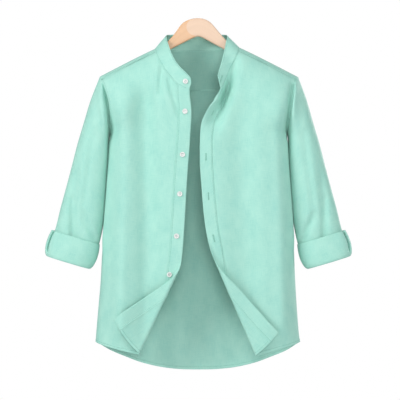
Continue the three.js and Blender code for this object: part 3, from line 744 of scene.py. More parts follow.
def shell(grid: Array, normals: Array, thickness: Array | float, closed: bool = False) -> Shape:
    """A closed wall with a grid at its middle and a round rim.

    The outer and inner faces are the grid plus and less half the thickness along the normals,
    and the rim passes most of half a thickness beyond the grid's own edge.

    Args:
        grid: Points by row and column.
        normals: Directions out of the grid.
        thickness: The wall's thickness, one value or one for each point.
        closed: Whether the last column joins the first.

    Returns:
        The wall, its faces pointing out.
    """
    high, wide = grid.shape[:2]
    half = np.broadcast_to(np.asarray(thickness, float), (high, wide))[..., None] / 2
    ids = np.arange(high * wide).reshape(high, wide)
    uv = cloth_places(grid, closed)
    outer = np.stack(corners(wrapped(ids) if closed else ids), axis=-1).reshape(-1, 4)
    outer_uv = np.stack(corners(uv), axis=-2).reshape(-1, 4, 2)
    inner = outer[:, ::-1] + high * wide
    faces, face_uv = [outer, inner], [outer_uv, outer_uv[:, ::-1]]
    points = [(grid + half * normals).reshape(-1, 3), (grid - half * normals).reshape(-1, 3)]
    count = 2 * high * wide

    top = [(0, j) for j in range(wide)]
    foot = [(high - 1, j) for j in range(wide - 1, -1, -1)]
    if closed:
        loops = [top, foot]
    else:
        right = [(i, wide - 1) for i in range(1, high - 1)]
        left = [(i, 0) for i in range(high - 2, 0, -1)]
        loops = [top + right + foot + left]
    for loop in loops:
        i, j = np.array(loop).T
        inside_i = np.where(i == 0, 1, np.where(i == high - 1, high - 2, i))
        inside_j = j if closed else np.where(j == 0, 1, np.where(j == wide - 1, wide - 2, j))
        out = unit(grid[i, j] - grid[inside_i, inside_j])
        rim = np.arange(len(loop)) + count
        points.append(grid[i, j] + RIM_SHARE * half[i, j] * out)
        count += len(loop)
        first, second = ids[i, j], np.roll(ids[i, j], -1)
        rim_next = np.roll(rim, -1)
        faces.append(np.stack([second, first, rim, rim_next], axis=-1))
        faces.append(np.stack([rim_next, rim, first + high * wide, second + high * wide], axis=-1))
        at = uv[i, j]
        at_next = np.roll(at, -1, axis=0)
        face_uv += [np.stack([at_next, at, at, at_next], axis=1)] * 2
    whole = Shape(np.concatenate(points), np.concatenate(faces), np.concatenate(face_uv))
    return facing_out(whole)


def facing_out(shape: Shape) -> Shape:
    """A closed shape whose faces point out: all are turned if its signed volume is negative.

    Args:
        shape: The shape.

    Returns:
        The same shape, with its faces turned if they pointed in.
    """
    a, b, c = (shape.points[shape.faces[:, k]] for k in range(3))
    volume = np.einsum("ij,ij->", a, np.cross(b, c))
    if shape.faces.shape[1] == 4:
        d = shape.points[shape.faces[:, 3]]
        volume += np.einsum("ij,ij->", a, np.cross(c, d))
    if volume < 0:
        shape.faces = shape.faces[:, ::-1]
        shape.uv = None if shape.uv is None else shape.uv[:, ::-1]
    return shape


def surface_shell(surface: Surface, flat: Array, thickness: Array | float, lift: float = 0) -> Shape:
    """A closed wall over flat places on a surface, moved out of it by a lift.

    Args:
        surface: The surface.
        flat: Places across and heights.
        thickness: The wall's thickness, in all or by row or point.
        lift: How far the wall's middle lies off the surface, along its direction.

    Returns:
        The wall.
    """
    x, z = flat[..., 0], flat[..., 1]
    normals = surface_normals(surface, x, z)
    return shell(surface(x, z) + lift * normals, normals, thickness)


def beads(points: Array, ways: Array, normals: Array, size: tuple[float, float, float]) -> Shape:
    """Stitches as small rods with pointed ends.

    Each has an end point at both sides of its middle, and between them two squares of corners,
    a quarter of the length from the ends.

    Args:
        points: The stitches' middles.
        ways: The directions that they run in.
        normals: The directions out of the cloth.
        size: Length, width and height of a stitch.

    Returns:
        All the stitches as one shape of triangles.
    """
    length, width, height = size
    ways, normals = unit(ways), unit(normals)
    sides = unit(np.cross(ways, normals))
    ring = [(0.5 * width, 0), (0, 0.5 * height), (-0.5 * width, 0), (0, -0.5 * height)]
    places = [points - 0.5 * length * ways]
    for share in (-0.26, 0.26):
        places += [points + share * length * ways + w * sides + h * normals for w, h in ring]
    places.append(points + 0.5 * length * ways)
    tris = []
    for k in range(4):
        n = (k + 1) % 4
        tris += [(0, 1 + n, 1 + k), (1 + k, 1 + n, 5 + n), (1 + k, 5 + n, 5 + k), (9, 5 + k, 5 + n)]
    stacked = np.stack(places, axis=1)
    faces = np.array(tris)[None] + (len(places) * np.arange(len(points)))[:, None, None]
    return facing_out(Shape(stacked.reshape(-1, 3), faces.reshape(-1, 3)))


@dataclass(frozen=True)
class Stitching:
    """A row of topstitching: how long the stitches are and how far apart they start."""

    pitch: float = 2.9
    length: float = 2.35
    width: float = 0.62
    height: float = 0.5
    proud: float = 1.08

    def row(self, line: Array, normals: Array) -> Shape:
        """Stitches along a fine line on the cloth.

        Args:
            line: Points of the line.
            normals: Directions out of the cloth at the points.

        Returns:
            The stitches.
        """
        both = np.concatenate([line, normals], axis=1)
        lengths = distances(line)
        at = np.arange(self.pitch / 2, lengths[-1], self.pitch)

        def take(values: Array) -> Array:
            """Columns of values at the stitches' distances."""
            return np.stack([np.interp(at, lengths, v) for v in values.T], axis=-1)

        placed = take(both)
        ways = take(np.gradient(line, axis=0))
        return beads(placed[:, :3], ways, placed[:, 3:], (self.length, self.width, self.height))

    def on(self, surface: Surface, flat: Array, lift: float) -> Shape:
        """Stitches along flat places on a surface, lifted off its middle by a distance.

        Args:
            surface: The surface.
            flat: Places across and heights.
            lift: The distance along the surface's direction, less than zero for the other face.

        Returns:
            The stitches.
        """
        x, z = flat.T
        normals = surface_normals(surface, x, z)
        return self.row(surface(x, z) + lift * normals, np.sign(lift) * normals)

    def both(self, surface: Surface, flat: Array, thickness: float) -> list[Shape]:
        """Stitches along flat places on both faces of a wall, standing a little proud of them."""
        return [self.on(surface, flat, side * self.proud * thickness / 2) for side in (1, -1)]


STITCHES = Stitching()


class Socket:
    """One output of a shader node, with arithmetic."""

    def __init__(self, shader: "Shader", link: bpy.types.NodeSocket) -> None:
        """Wraps a link of a shader."""
        self.shader = shader
        self.link = link

    def _math(self, operation: str, first: object, second: object) -> "Socket":
        """A Math node on two values."""
        node = self.shader.node("ShaderNodeMath", {"operation": operation}, {0: first, 1: second})
        return Socket(self.shader, node.outputs[0])

    def __add__(self, other: object) -> "Socket":
        """The sum."""
        return self._math("ADD", self, other)

    __radd__ = __add__

    def __mul__(self, other: object) -> "Socket":
        """The product."""
        return self._math("MULTIPLY", self, other)

    __rmul__ = __mul__

    def __sub__(self, other: object) -> "Socket":
        """The difference."""
        return self._math("SUBTRACT", self, other)

    def __rsub__(self, other: object) -> "Socket":
        """The difference from a number."""
        return self._math("SUBTRACT", other, self)

    def least(self, other: object) -> "Socket":
        """The lesser."""
        return self._math("MINIMUM", self, other)

    def below(self, limit: object) -> "Socket":
        """One where it is less than a limit, and nothing elsewhere."""
        return self._math("LESS_THAN", self, limit)

    def sine(self) -> "Socket":
        """The sine."""
        return self._math("SINE", self, 0.0)


class Shader:
    """A material's node tree."""

    def __init__(self, name: str) -> None:
        """Starts a material of one Principled shader."""
        self.material = bpy.data.materials.new(name)
        self.material.use_nodes = True
        self.tree = self.material.node_tree
        self.tree.nodes.clear()
        self.surface = self.node("ShaderNodeBsdfPrincipled")
        out = self.node("ShaderNodeOutputMaterial")
        self.tree.links.new(self.surface.outputs[0], out.inputs[0])

    def node(self, kind: str, settings: dict | None = None,
             values: dict | None = None) -> bpy.types.Node:
        """One node, with its settings made before its sockets are filled.

        Args:
            kind: The node's type.
            settings: Its properties, or "stops" for a ramp's positions and colours.
            values: Numbers, colours or links by socket name or place.

        Returns:
            The node.
        """
        made = self.tree.nodes.new(kind)
        for key, value in (settings or {}).items():
            if key == "stops":
                ramp = made.color_ramp.elements
                while len(ramp) < len(value):
                    ramp.new(1.0)
                for element, (place, colour) in zip(ramp, value):
                    element.position, element.color = place, (*colour, 1.0)
            else:
                setattr(made, key, value)
        self.fill(made, values or {})
        return made

    def fill(self, node: bpy.types.Node, values: dict) -> None:
        """Fills a node's sockets with numbers, colours or links.

        Args:
            node: The node.
            values: Numbers, colours or links by socket name or place.
        """
        for key, value in values.items():
            if isinstance(value, Socket):
                self.tree.links.new(value.link, node.inputs[key])
            else:
                node.inputs[key].default_value = value

    def out(self, kind: str, settings: dict | None = None, values: dict | None = None,
            output: int | str = 0) -> Socket:
        """One output of a new node."""
        return Socket(self, self.node(kind, settings, values).outputs[output])

    def parts(self, vector: Socket) -> tuple[Socket, Socket, Socket]:
        """The three numbers of a vector."""
        node = self.node("ShaderNodeSeparateXYZ", None, {0: vector})
        return tuple(Socket(self, node.outputs[k]) for k in range(3))

    def vector(self, x: object, y: object, z: object = 0.0) -> Socket:
        """A vector of three numbers."""
        return self.out("ShaderNodeCombineXYZ", None, {0: x, 1: y, 2: z})

    def noise(self, vector: Socket, scale: float, detail: float = 2.0, rough: float = 0.5) -> Socket:
        """Noise from 0 to 1 about a half."""
        values = {"Vector": vector, "Scale": scale, "Detail": detail, "Roughness": rough}
        return self.out("ShaderNodeTexNoise", None, values)

    def colours(self, factor: Socket, *stops: tuple[float, tuple[float, float, float]]) -> Socket:
        """A colour ramp."""
        return self.out("ShaderNodeValToRGB", {"stops": stops}, {0: factor})

    def bump(self, height: Socket, strength: float, distance: float) -> Socket:
        """A normal from a height."""
        values = {"Strength": strength, "Distance": distance, "Height": height}
        return self.out("ShaderNodeBump", None, values)

    def finish(self, values: dict) -> bpy.types.Material:
        """Fills the Principled shader and gives the material."""
        self.fill(self.surface, values)
        return self.material


@dataclass(frozen=True)
class Cloth:
    """Fine plain-woven cotton with a slight sheen."""

    name: str = "mint_cotton"
    colour: tuple[float, float, float] = (0.27, 0.57, 0.495)
    middle: tuple[float, float, float] = (0.315, 0.61, 0.525)
    paler: tuple[float, float, float] = (0.35, 0.64, 0.55)
    thread: float = 0.55
    weave: float = 0.10
    crumple: float = 0.35

    def material(self) -> bpy.types.Material:
        """Two threads crossing as sines, slubs along both, and a soft crumple, in mm of cloth.

        Returns:
            The material.
        """
        shader = Shader(self.name)
        uv = shader.out("ShaderNodeUVMap", {"uv_map": "cloth"})
        u, v, _ = shader.parts(uv)
        turn = FULL_TURN / self.thread
        warp = (u * turn).sine()
        weft = (v * turn).sine()
        slub = (shader.noise(shader.vector(u * 0.9, v * 0.05), 1.0)
                + shader.noise(shader.vector(u * 0.05, v * 0.9), 1.0))
        soft = shader.noise(shader.vector(u * 0.035, v * 0.022), 1.0, detail=3.0, rough=0.55)
        tone = slub * 0.30 + soft * 0.40
        colour = shader.colours(tone, (0.38, self.colour), (0.5, self.middle), (0.62, self.paler))
        height = warp * weft * (0.5 * self.weave) + slub * (0.6 * self.weave) + soft * self.crumple
        bump = shader.bump(height, 0.5, MM)
        return shader.finish({
            "Base Color": colour, "Roughness": slub * 0.05 + 0.62, "Normal": bump,
            "Specular IOR Level": 0.4, "Sheen Weight": 0.12, "Sheen Roughness": 0.5,
        })


@dataclass(frozen=True)
class Thread:
    """Twisted sewing thread."""

    name: str
    colour: tuple[float, float, float]

    def material(self) -> bpy.types.Material:
        """One colour with a fine mottle from Object coordinates.

        Returns:
            The material.
        """
        shader = Shader(self.name)
        place = shader.out("ShaderNodeTexCoord", None, None, "Object")
        mottle = shader.noise(place, 900.0)
        low = tuple(0.86 * c for c in self.colour)
        return shader.finish({
            "Base Color": shader.colours(mottle, (0.3, low), (0.7, self.colour)),
            "Roughness": mottle * 0.1 + 0.55, "Sheen Weight": 0.2,
        })


@dataclass(frozen=True)
class Wood:
    """Pale close-grained wood, rubbed smooth."""

    name: str = "pale_wood_grain"
    # Where the painted light on the right arm begins, across and up, and the radius of its round end at
    # the crown, in metres
    lit_side_x: float = -0.008
    lit_side_z: float = -0.0205
    lit_side_round: float = 0.0195

    def material(self) -> bpy.types.Material:
        """Noise drawn out along the piece for the grain, with fine dark pores across it.

        Painted light: the right arm, and the crown up to a round end, take a lighter pair of colours.
        The left arm keeps the darker pair as painted shade.
        """
        shader = Shader(self.name)
        u, v, _ = shader.parts(shader.out("ShaderNodeUVMap", {"uv_map": "cloth"}))
        wander = shader.noise(shader.vector(u * 0.012, v * 0.03), 1.0)
        bands = shader.noise(shader.vector(u * 0.006, v * 0.22 + wander * 3.0), 1.0, detail=4.0)
        pores = shader.noise(shader.vector(u * 0.05, v * 2.2), 1.0, detail=2.0)
        x, _, z = shader.parts(shader.out("ShaderNodeTexCoord", None, None, "Object"))
        # Painted light: a mask that is one on the right arm and on a round patch at the crown. The ramp
        # below gives it the lighter colours, and the rest is left as painted shade
        past, height = x - self.lit_side_x, z - self.lit_side_z
        short = past.least(0.0)
        lit_side = (short * short + height * height - (past - short)).below(self.lit_side_round**2)
        tone = bands * 0.14 + pores * 0.06 + lit_side * 0.5
        colour = shader.colours(
            tone, (0.06, (0.60, 0.365, 0.205)), (0.14, (0.665, 0.415, 0.24)),
            (0.56, (0.615, 0.44, 0.315)), (0.64, (0.675, 0.48, 0.345)))
        bump = shader.bump(pores, 0.25, 0.3 * MM)
        return shader.finish({
            "Base Color": colour, "Roughness": pores * 0.15 + 0.36, "Normal": bump,
            "Coat Weight": 0.12, "Coat Roughness": 0.25,
        })


@dataclass(frozen=True)
class ButtonPlastic:
    """Polished white button stock with a faint cloud in it."""

    name: str = "white_button_gloss"

    def material(self) -> bpy.types.Material:
        """Almost white, a little warmer and duller in soft clouds.

        Returns:
            The material.
        """
        shader = Shader(self.name)
        place = shader.out("ShaderNodeTexCoord", None, None, "Object")
        cloud = shader.noise(place, 260.0, detail=3.0)
        colour = shader.colours(cloud, (0.3, (0.65, 0.66, 0.65)), (0.7, (0.72, 0.72, 0.71)))
        roughness = cloud * 0.12 + 0.16
        return shader.finish({"Base Color": colour, "Roughness": roughness, "Coat Weight": 0.3})


@dataclass
class Finishes:
    """The materials of the whole shirt, made once."""

    cloth: bpy.types.Material = field(default_factory=lambda: Cloth().material())
    thread: bpy.types.Material = field(
        default_factory=lambda: Thread("mint_thread", (0.11, 0.34, 0.265)).material())
    hole_thread: bpy.types.Material = field(
        default_factory=lambda: Thread("buttonhole_thread", (0.21, 0.49, 0.40)).material())
    button_thread: bpy.types.Material = field(
        default_factory=lambda: Thread("white_thread", (0.45, 0.46, 0.45)).material())
    wood: bpy.types.Material = field(default_factory=lambda: Wood().material())
    plastic: bpy.types.Material = field(default_factory=lambda: ButtonPlastic().material())


class Slot(Enum):
    """The record's material slots."""

    CLOTH = "mint_cloth"
    BUTTON = "white_button"
    WOOD = "pale_wood"


def write_piece(name: str, shape: Shape, material: bpy.types.Material, slot: Slot,
                nodes: tuple[str, ...] = ()) -> bpy.types.Object:
    """One finished object in metres, riding on the part's body.

    Args:
        name: The object's name.
        shape: Its shape in mm.
        material: Its finish.
        slot: The record's slot that it belongs to; it is not used.
        nodes: The CAD nodes that it stands for.

    Returns:
        The object.
    """
    mesh = bpy.data.meshes.new(name)
    mesh.from_pydata((shape.points * MM).tolist(), [], shape.faces.tolist())
    if shape.uv is not None:
        layer = mesh.uv_layers.new(name="cloth")
        layer.data.foreach_set("uv", shape.uv.astype(np.float32).ravel())
    mesh.shade_smooth()
    mesh.set_sharp_from_angle(angle=SHARP_ANGLE)
    mesh.materials.append(material)
    made = bpy.data.objects.new(name, mesh)
    bpy.context.scene.collection.objects.link(made)
    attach(made, "root")
    if nodes:
        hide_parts(*nodes)
    LOG.info("%s: %d faces", name, len(shape.faces))
    return made


def edge_dips(grid: Array, near: tuple[float, float, float], top: tuple[float, float, float]) -> Array:
    """How far cloth sinks beside the seams at its near and top edges.

    Each is a depth times the bell of the distance from a line that runs beside the edge.

    Args:
        grid: Points by row and column.
        near: Depth, place and width of the bell beside the first column.
        top: The same beside the first row.

    Returns:
        The dip at each point.
    """
    def bell(distance: Array, size: tuple[float, float, float]) -> Array:
        """A bell across a line beside an edge."""
        depth, place, width = size
        return depth * np.exp(-(((distance - place) / width) ** 2))

    return bell(lengths_across(grid), near) + bell(lengths_down(grid), top)


def hem_rows(count: int, length: float) -> Array:
    """Shares down a panel that lie closer together in the hem's fold."""
    start = 1 - (HEM_WIDE + HEM_MARGIN) / length
    return np.concatenate([np.linspace(0, start, count), np.linspace(start, 1, HEM_PLACES)[1:]])


def hem_thickness(down: Array, length: float) -> Array:
    """Thickness down a panel: one layer, and more in the folded hem, eased over a millimetre."""
    inside = (down - 1) * length + HEM_WIDE
    return lerp(SINGLE, HEM_THICK, smooth(inside / HEM_EASING + 0.5))


def hem_stitch_share(length: float) -> float:
    """Share down a panel of the hem's stitching, just below the top of its fold."""
    return 1 - HEM_WIDE / length + HEM_STITCH_SHARE


def facing_viewer(normal: Array) -> Array:
    """A direction or its opposite, whichever points to the front."""
    return normal if normal[1] < 0 else -normal


@dataclass
class Front:
    """One front: its panel, its doubled band, and what is sewn on them."""

    name: str
    sign: int
    neck: Table
    edge: Table
    hem: Table
    turn: Turn
    foot: float
    neck_share: float = 0.3
    neck_fade: float = 6
    neck_steps: int = 400
    under_yoke: float = 1.2
    tuck: float = 2.5
    stitch_in: float = 1.8
    band_wide: float = 28
    side_stitch: float = 0.985
    length: float = 620
    columns: int = 86
    rows: int = 238
    band_columns: int = 16
    band_rows: int = 300
    band_dip: tuple[float, float, float] = (1.3, 2.5, 1.8)
    seam_dip: tuple[float, float, float] = (1.8, 2.0, 2.2)
    curl: float = 0
    curl_at: float = -184
    curl_long: float = 15
    curl_rise: float = 1.2
    curl_round: float = 1.5

    def curl_over(self, z: Array | float) -> Array | float:
        """How far the band's edge curls back past its outline below the collar: a bell."""
        return self.curl * np.exp(-(((z - self.curl_at) / self.curl_long) ** 2))

    def edge_at(self, z: Array | float) -> Array:
        """The free edge at a height."""
        return column(self.edge, "z", "x", z)

    def stitch_at(self, z: Array | float) -> Array:
        """The band's inner edge at a height."""
        return self.edge_at(z) + self.sign * column(self.edge, "z", "band", z)

    def hem_at(self, x: Array | float) -> Array:
        """The hem's height."""
        return column(self.hem, "x", "z", x)

    def surface(self, x: Array, z: Array) -> Array:
        """Points of the front with its corner turned, and its edge curled back past its outline.

        Args:
            x: Places across.
            z: Heights.

        Returns:
            The points.
        """
        points = TORSO.turned(self.turn, x, z)
        if self.curl:
            past = np.maximum(0, self.sign * (self.edge_at(z) - x))
            rise = past * past * self.curl_rise / (past + self.curl_round)
            points[..., 1] += np.where(z > self.curl_at - 3 * self.curl_long, rise, 0)
        return points

    def neck_path(self) -> tuple[Array, Array]:
        """The collar seam, split where the band's stitching meets it.

        Returns:
            The part along the band and the part along the panel.
        """
        fine = even_path(np.stack([self.neck["x"], self.neck["z"]], axis=-1), self.neck_steps)
        in_band = int(np.sum(self.sign * (fine[:, 0] - self.stitch_at(fine[:, 1])) < 0)) - 1
        return fine[: in_band + 1], fine[in_band:]

    def stitch_line(self, shift: float) -> Callable[[Array], Array]:
        """The band's inner edge from the collar to the hem, moved towards the side seam.

        Args:
            shift: How far it is moved.

        Returns:
            A function from shares down to places.
        """
        top = self.neck_path()[0][-1, 1]
        foot = float(self.hem_at(self.stitch_at(self.foot)))

        def line(t: Array) -> Array:
            """Places at shares down."""
            z = lerp(top, foot, t)
            return np.stack([self.stitch_at(z) + self.sign * shift, z], axis=-1)

        return line

    def panel_patch(self) -> Patch:
        """The panel's four edges, its inner one tucked into the band and its top under the yoke.

        Returns:
            The patch.
        """
        neck = self.neck_path()[1].copy()

        def seam_z(x: Array | float) -> Array | float:
            """Height of the panel's top below the shoulder ridge."""
            return TORSO.ridge(x) - TORSO.front_drop + self.under_yoke

        share = np.linspace(0, 1, len(neck))
        neck[:, 1] += (seam_z(neck[-1, 0]) - neck[-1, 1]) * share**4
        tip_x = float(TORSO.side(self.sign, TORSO.shoulder_tip - TORSO.front_drop))
        shoulder_x = np.linspace(neck[-1, 0], tip_x, self.neck_steps)
        shoulder = np.stack([shoulder_x, seam_z(shoulder_x)], axis=-1)

        def top(s: Array) -> Array:
            """The collar seam, then the shoulder seam."""
            on_neck = along(neck)(s / self.neck_share)
            on_shoulder = along(shoulder)((s - self.neck_share) / (1 - self.neck_share))
            return np.where((s <= self.neck_share)[:, None], on_neck, on_shoulder)

        def far(t: Array) -> Array:
            """The armhole and side seam."""
            z = lerp(seam_z(tip_x), TORSO.hem_at_side, t)
            return np.stack([np.where(t == 0, tip_x, TORSO.side(self.sign, z)), z], axis=-1)

        def top_end(t: Array) -> Array:
            """The inner edge, drawn to the collar seam at the top."""
            line = self.stitch_line(-self.tuck)(t)
            line[:, 0] = np.where(t == 0, neck[0, 0], line[:, 0])
            return line

        near_x, far_x = top_end(ENDS)[1, 0], far(ENDS)[1, 0]

        def bottom(s: Array) -> Array:
            """The hem."""
            x = lerp(near_x, far_x, s)
            return np.stack([x, self.hem_at(x)], axis=-1)

        return Patch(top, bottom, top_end, far, self.neck_fade)

    def build_panel(self, finishes: Finishes) -> bpy.types.Object:
        """The single-layer panel with its hem and its stitching.

        Args:
            finishes: The materials.

        Returns:
            The panel.
        """
        down = hem_rows(self.rows, self.length)
        flat = self.panel_patch().grid(spread(self.columns), down)
        thickness = hem_thickness(down, self.length)[:, None]
        points = self.surface(flat[..., 0], flat[..., 1])
        normals = surface_normals(self.surface, flat[..., 0], flat[..., 1])
        points -= normals * edge_dips(points, self.band_dip, self.seam_dip)[..., None]
        panel = write_piece(f"front_{self.name}_cloth", shell(points, normals, thickness),
                            finishes.cloth, Slot.CLOTH, (f"front_{self.name}",))
        hem = self.panel_patch().grid(spread(300), np.array([hem_stitch_share(self.length)]))[0]
        armhole = self.panel_patch().grid(np.array([self.side_stitch]), spread(400))[:150, 0]
        stitches = STITCHES.both(self.surface, hem, HEM_THICK)
        stitches.append(STITCHES.on(self.surface, armhole, SINGLE * 0.6))
        sewn = write_piece(f"front_{self.name}_stitching", join(stitches), finishes.thread, Slot.CLOTH)
        return panel

    def band_patch(self) -> Patch:
        """The band's four edges, from its stitching to its free edge.

        Returns:
            The patch.
        """
        neck = self.neck_path()[0][::-1].copy()
        near = self.stitch_line(0)
        top_z = neck[-1, 1]

        def far(t: Array) -> Array:
            """The free edge."""
            z = lerp(top_z, self.foot, t)
            return np.stack([self.edge_at(z) - self.sign * self.curl_over(z), z], axis=-1)

        foot = np.stack([near(ENDS)[1], far(ENDS)[1]])
        return Patch(along(neck), along(foot), near, far)

    def build_band(self, name: str, finishes: Finishes) -> bpy.types.Object:
        """The doubled band down the front edge, stitched near its inner edge.

        Args:
            name: The CAD node that it stands for.
            finishes: The materials.

        Returns:
            The band.
        """
        flat = self.band_patch().grid(spread(self.band_columns), spread(self.band_rows))
        band = write_piece(f"{name}_band", surface_shell(self.surface, flat, DOUBLE),
                           finishes.cloth, Slot.CLOTH, (name,))
        share = self.stitch_in / self.band_wide
        line = self.band_patch().grid(np.array([share]), spread(500))[:, 0]
        stitches = STITCHES.both(self.surface, line, DOUBLE)
        sewn = write_piece(f"{name}_stitching", join(stitches), finishes.thread, Slot.CLOTH)
        return band

    def band_place(self, z: float, share: float) -> tuple[Array, Array]:
        """A point of the band's middle and the direction out of it, towards the viewer.

        Args:
            z: Its flat height.
            share: 0 at the band's stitching, 1 at the free edge.

        Returns:
            The point and the direction.
        """
        x = np.array([lerp(self.stitch_at(z), self.edge_at(z), share)])
        normal = surface_normals(self.surface, x, np.array([z]))[0]
        return self.surface(x, np.array([z]))[0], facing_viewer(normal)


RIGHT_FRONT = Front("right", -1, NECK_LOW, EDGE_LOW, HEM_LOW,
                    Turn(-57.5, -605, -135, -770, 6.5, 5, 1), -767)
LEFT_FRONT = Front("left", 1, NECK_HIGH, EDGE_HIGH, HEM_HIGH,
                   Turn(42.6, -569.5, 131.3, -775.5, 9, 5, -1), -778, curl=8)


@dataclass
class Back:
    """The back panel below the yoke, with its rounded hem."""

    length: float = 620
    under_yoke: float = 2.0
    columns: int = 150
    rows: int = 205
    crowding: float = 0.75

    def patch(self) -> Patch:
        """Straight top under the yoke, the side seams and the rounded hem.

        Returns:
            The patch.
        """
        seam = TORSO.back_seam + self.under_yoke

        def edge(sign: int) -> Callable[[Array], Array]:
            """The side seam of a side."""
            def line(t: Array) -> Array:
                """Places at shares down."""
                z = lerp(seam, TORSO.hem_at_side, t)
                return np.stack([TORSO.side(sign, z), z], axis=-1)
            return line

        near, far = edge(-1), edge(1)
        (top_near, foot_near), (top_far, foot_far) = near(ENDS), far(ENDS)

        def bottom(s: Array) -> Array:
            """The hem."""
            x = lerp(foot_near[0], foot_far[0], s)
            return np.stack([x, column(HEM_BACK, "x", "z", x)], axis=-1)

        return Patch(lambda s: lerp(top_near, top_far, s[:, None]), bottom, near, far)

    def build(self, finishes: Finishes) -> bpy.types.Object:
        """The panel, its hem and its stitching.

        Args:
            finishes: The materials.

        Returns:
            The panel.
        """
        down = hem_rows(self.rows, self.length)
        to_sides = (1 - np.cos(math.pi * spread(self.columns))) / 2
        flat = self.patch().grid(lerp(spread(self.columns), to_sides, self.crowding), down)
        thickness = hem_thickness(down, self.length)[:, None]
        panel = write_piece("back_cloth", surface_shell(TORSO.back, flat, thickness),
                            finishes.cloth, Slot.CLOTH, ("back",))
        hem = self.patch().grid(spread(500), np.array([hem_stitch_share(self.length)]))[0]
        stitches = STITCHES.both(TORSO.back, hem, HEM_THICK)
        sewn = write_piece("back_stitching", join(stitches), finishes.thread, Slot.CLOTH)
        return panel


@dataclass
class Yoke:
    """The shoulder piece that wraps over the ridge."""

    stretch: float = 8
    neck_steps: int = 120
    seam_steps: int = 90
    eased: int = 12
    columns: int = 200
    rows: int = 60
    seam_in: float = 0.28
    back_seam_at: float = 0.975

    def neck_path(self, count: int) -> Array:
        """The neck edge from one front over the back to the other, as places and steps.

        Args:
            count: Steps in each half.

        Returns:
            Places across and signed steps.
        """
        drop = NECK_YOKE["drop"]
        half = np.stack([NECK_YOKE["x"], self.stretch * np.sign(drop) * np.sqrt(np.abs(drop))], axis=-1)
        path = even_path(half, count)
        low = path * (-1, 1 / self.stretch)
        high = path * (NECK_YOKE_HIGH_SCALE, 1 / self.stretch)
        return np.concatenate([low, high[::-1][1:]])

    def outline(self) -> Array:
        """The front seams and the neck edge, as one row of places and steps.

        Returns:
            Places across and signed steps.
        """
        front_step = -math.sqrt(TORSO.front_drop)
        neck = self.neck_path(self.neck_steps)
        ease = np.linspace(1, 0, self.eased) ** 2
        neck[:self.eased, 1] += (front_step - neck[0, 1]) * ease
        neck[-self.eased:, 1] += (front_step - neck[-1, 1]) * ease[::-1]
        tip_z = TORSO.shoulder_tip - TORSO.front_drop

        def seam(first: float, last: float) -> Array:
            """A front seam between two places across."""
            across = np.linspace(first, last, self.seam_steps)
            return np.stack([across, np.full(self.seam_steps, front_step)], axis=-1)

        low = seam(float(TORSO.side(-1, tip_z)), neck[0, 0])
        high = seam(neck[-1, 0], float(TORSO.side(1, tip_z)))
        return np.concatenate([low[:-1], neck, high[1:]])

    def patch(self) -> Patch:
        """The outline above, the back seam below and the armholes at the sides.

        Returns:
            The patch.
        """
        outline = self.outline()
        front_step = outline[0, 1]
        seam = TORSO.back_seam

        def back_step(x: Array | float) -> Array:
            """The step at the back seam."""
            return np.sqrt(TORSO.ridge(x) - seam)

        def edge(sign: int) -> Callable[[Array], Array]:
            """The armhole of a side."""
            def line(t: Array) -> Array:
                """Places and steps at shares down."""
                foot = back_step(TORSO.side(sign, seam))
                step = lerp(front_step, foot, t)
                drop = step * step
                tip = TORSO.side(sign, TORSO.shoulder_tip - drop)
                x = TORSO.side(sign, TORSO.ridge(tip) - drop)
                return np.stack([x, np.where(t == 1, back_step(x), step)], axis=-1)
            return line

        near, far = edge(-1), edge(1)
        outline[0], outline[-1] = near(ENDS)[0], far(ENDS)[0]
        foot_near, foot_far = near(ENDS)[1, 0], far(ENDS)[1, 0]

        def bottom(s: Array) -> Array:
            """The back seam."""
            x = lerp(foot_near, foot_far, s)
            return np.stack([x, back_step(x)], axis=-1)

        return Patch(along(outline), bottom, near, far)

    def build(self, finishes: Finishes) -> bpy.types.Object:
        """The yoke, lapping over the panels that are sewn to it, with its topstitching.

        Args:
            finishes: The materials.

        Returns:
            The yoke.
        """
        flat = self.patch().grid(spread(self.columns), spread(self.rows))
        piece = write_piece("yoke_cloth", surface_shell(TORSO.yoke, flat, SINGLE, TORSO.yoke_lift),
                            finishes.cloth, Slot.CLOTH, ("yoke",))
        lift = TORSO.yoke_lift + SINGLE * 0.55
        outline = self.outline()
        seams = []
        for half in (outline[3:self.seam_steps - 3], outline[3 - self.seam_steps:-3]):
            fine = even_path(half, 300)
            fine[:, 1] += self.seam_in
            seams.append(STITCHES.on(TORSO.yoke, fine, lift))
        back = self.patch().grid(np.linspace(0.01, 0.99, 500), np.array([self.back_seam_at]))[0]
        seams.append(STITCHES.on(TORSO.yoke, back, lift))
        sewn = write_piece("yoke_stitching", join(seams), finishes.thread, Slot.CLOTH)
        return piece


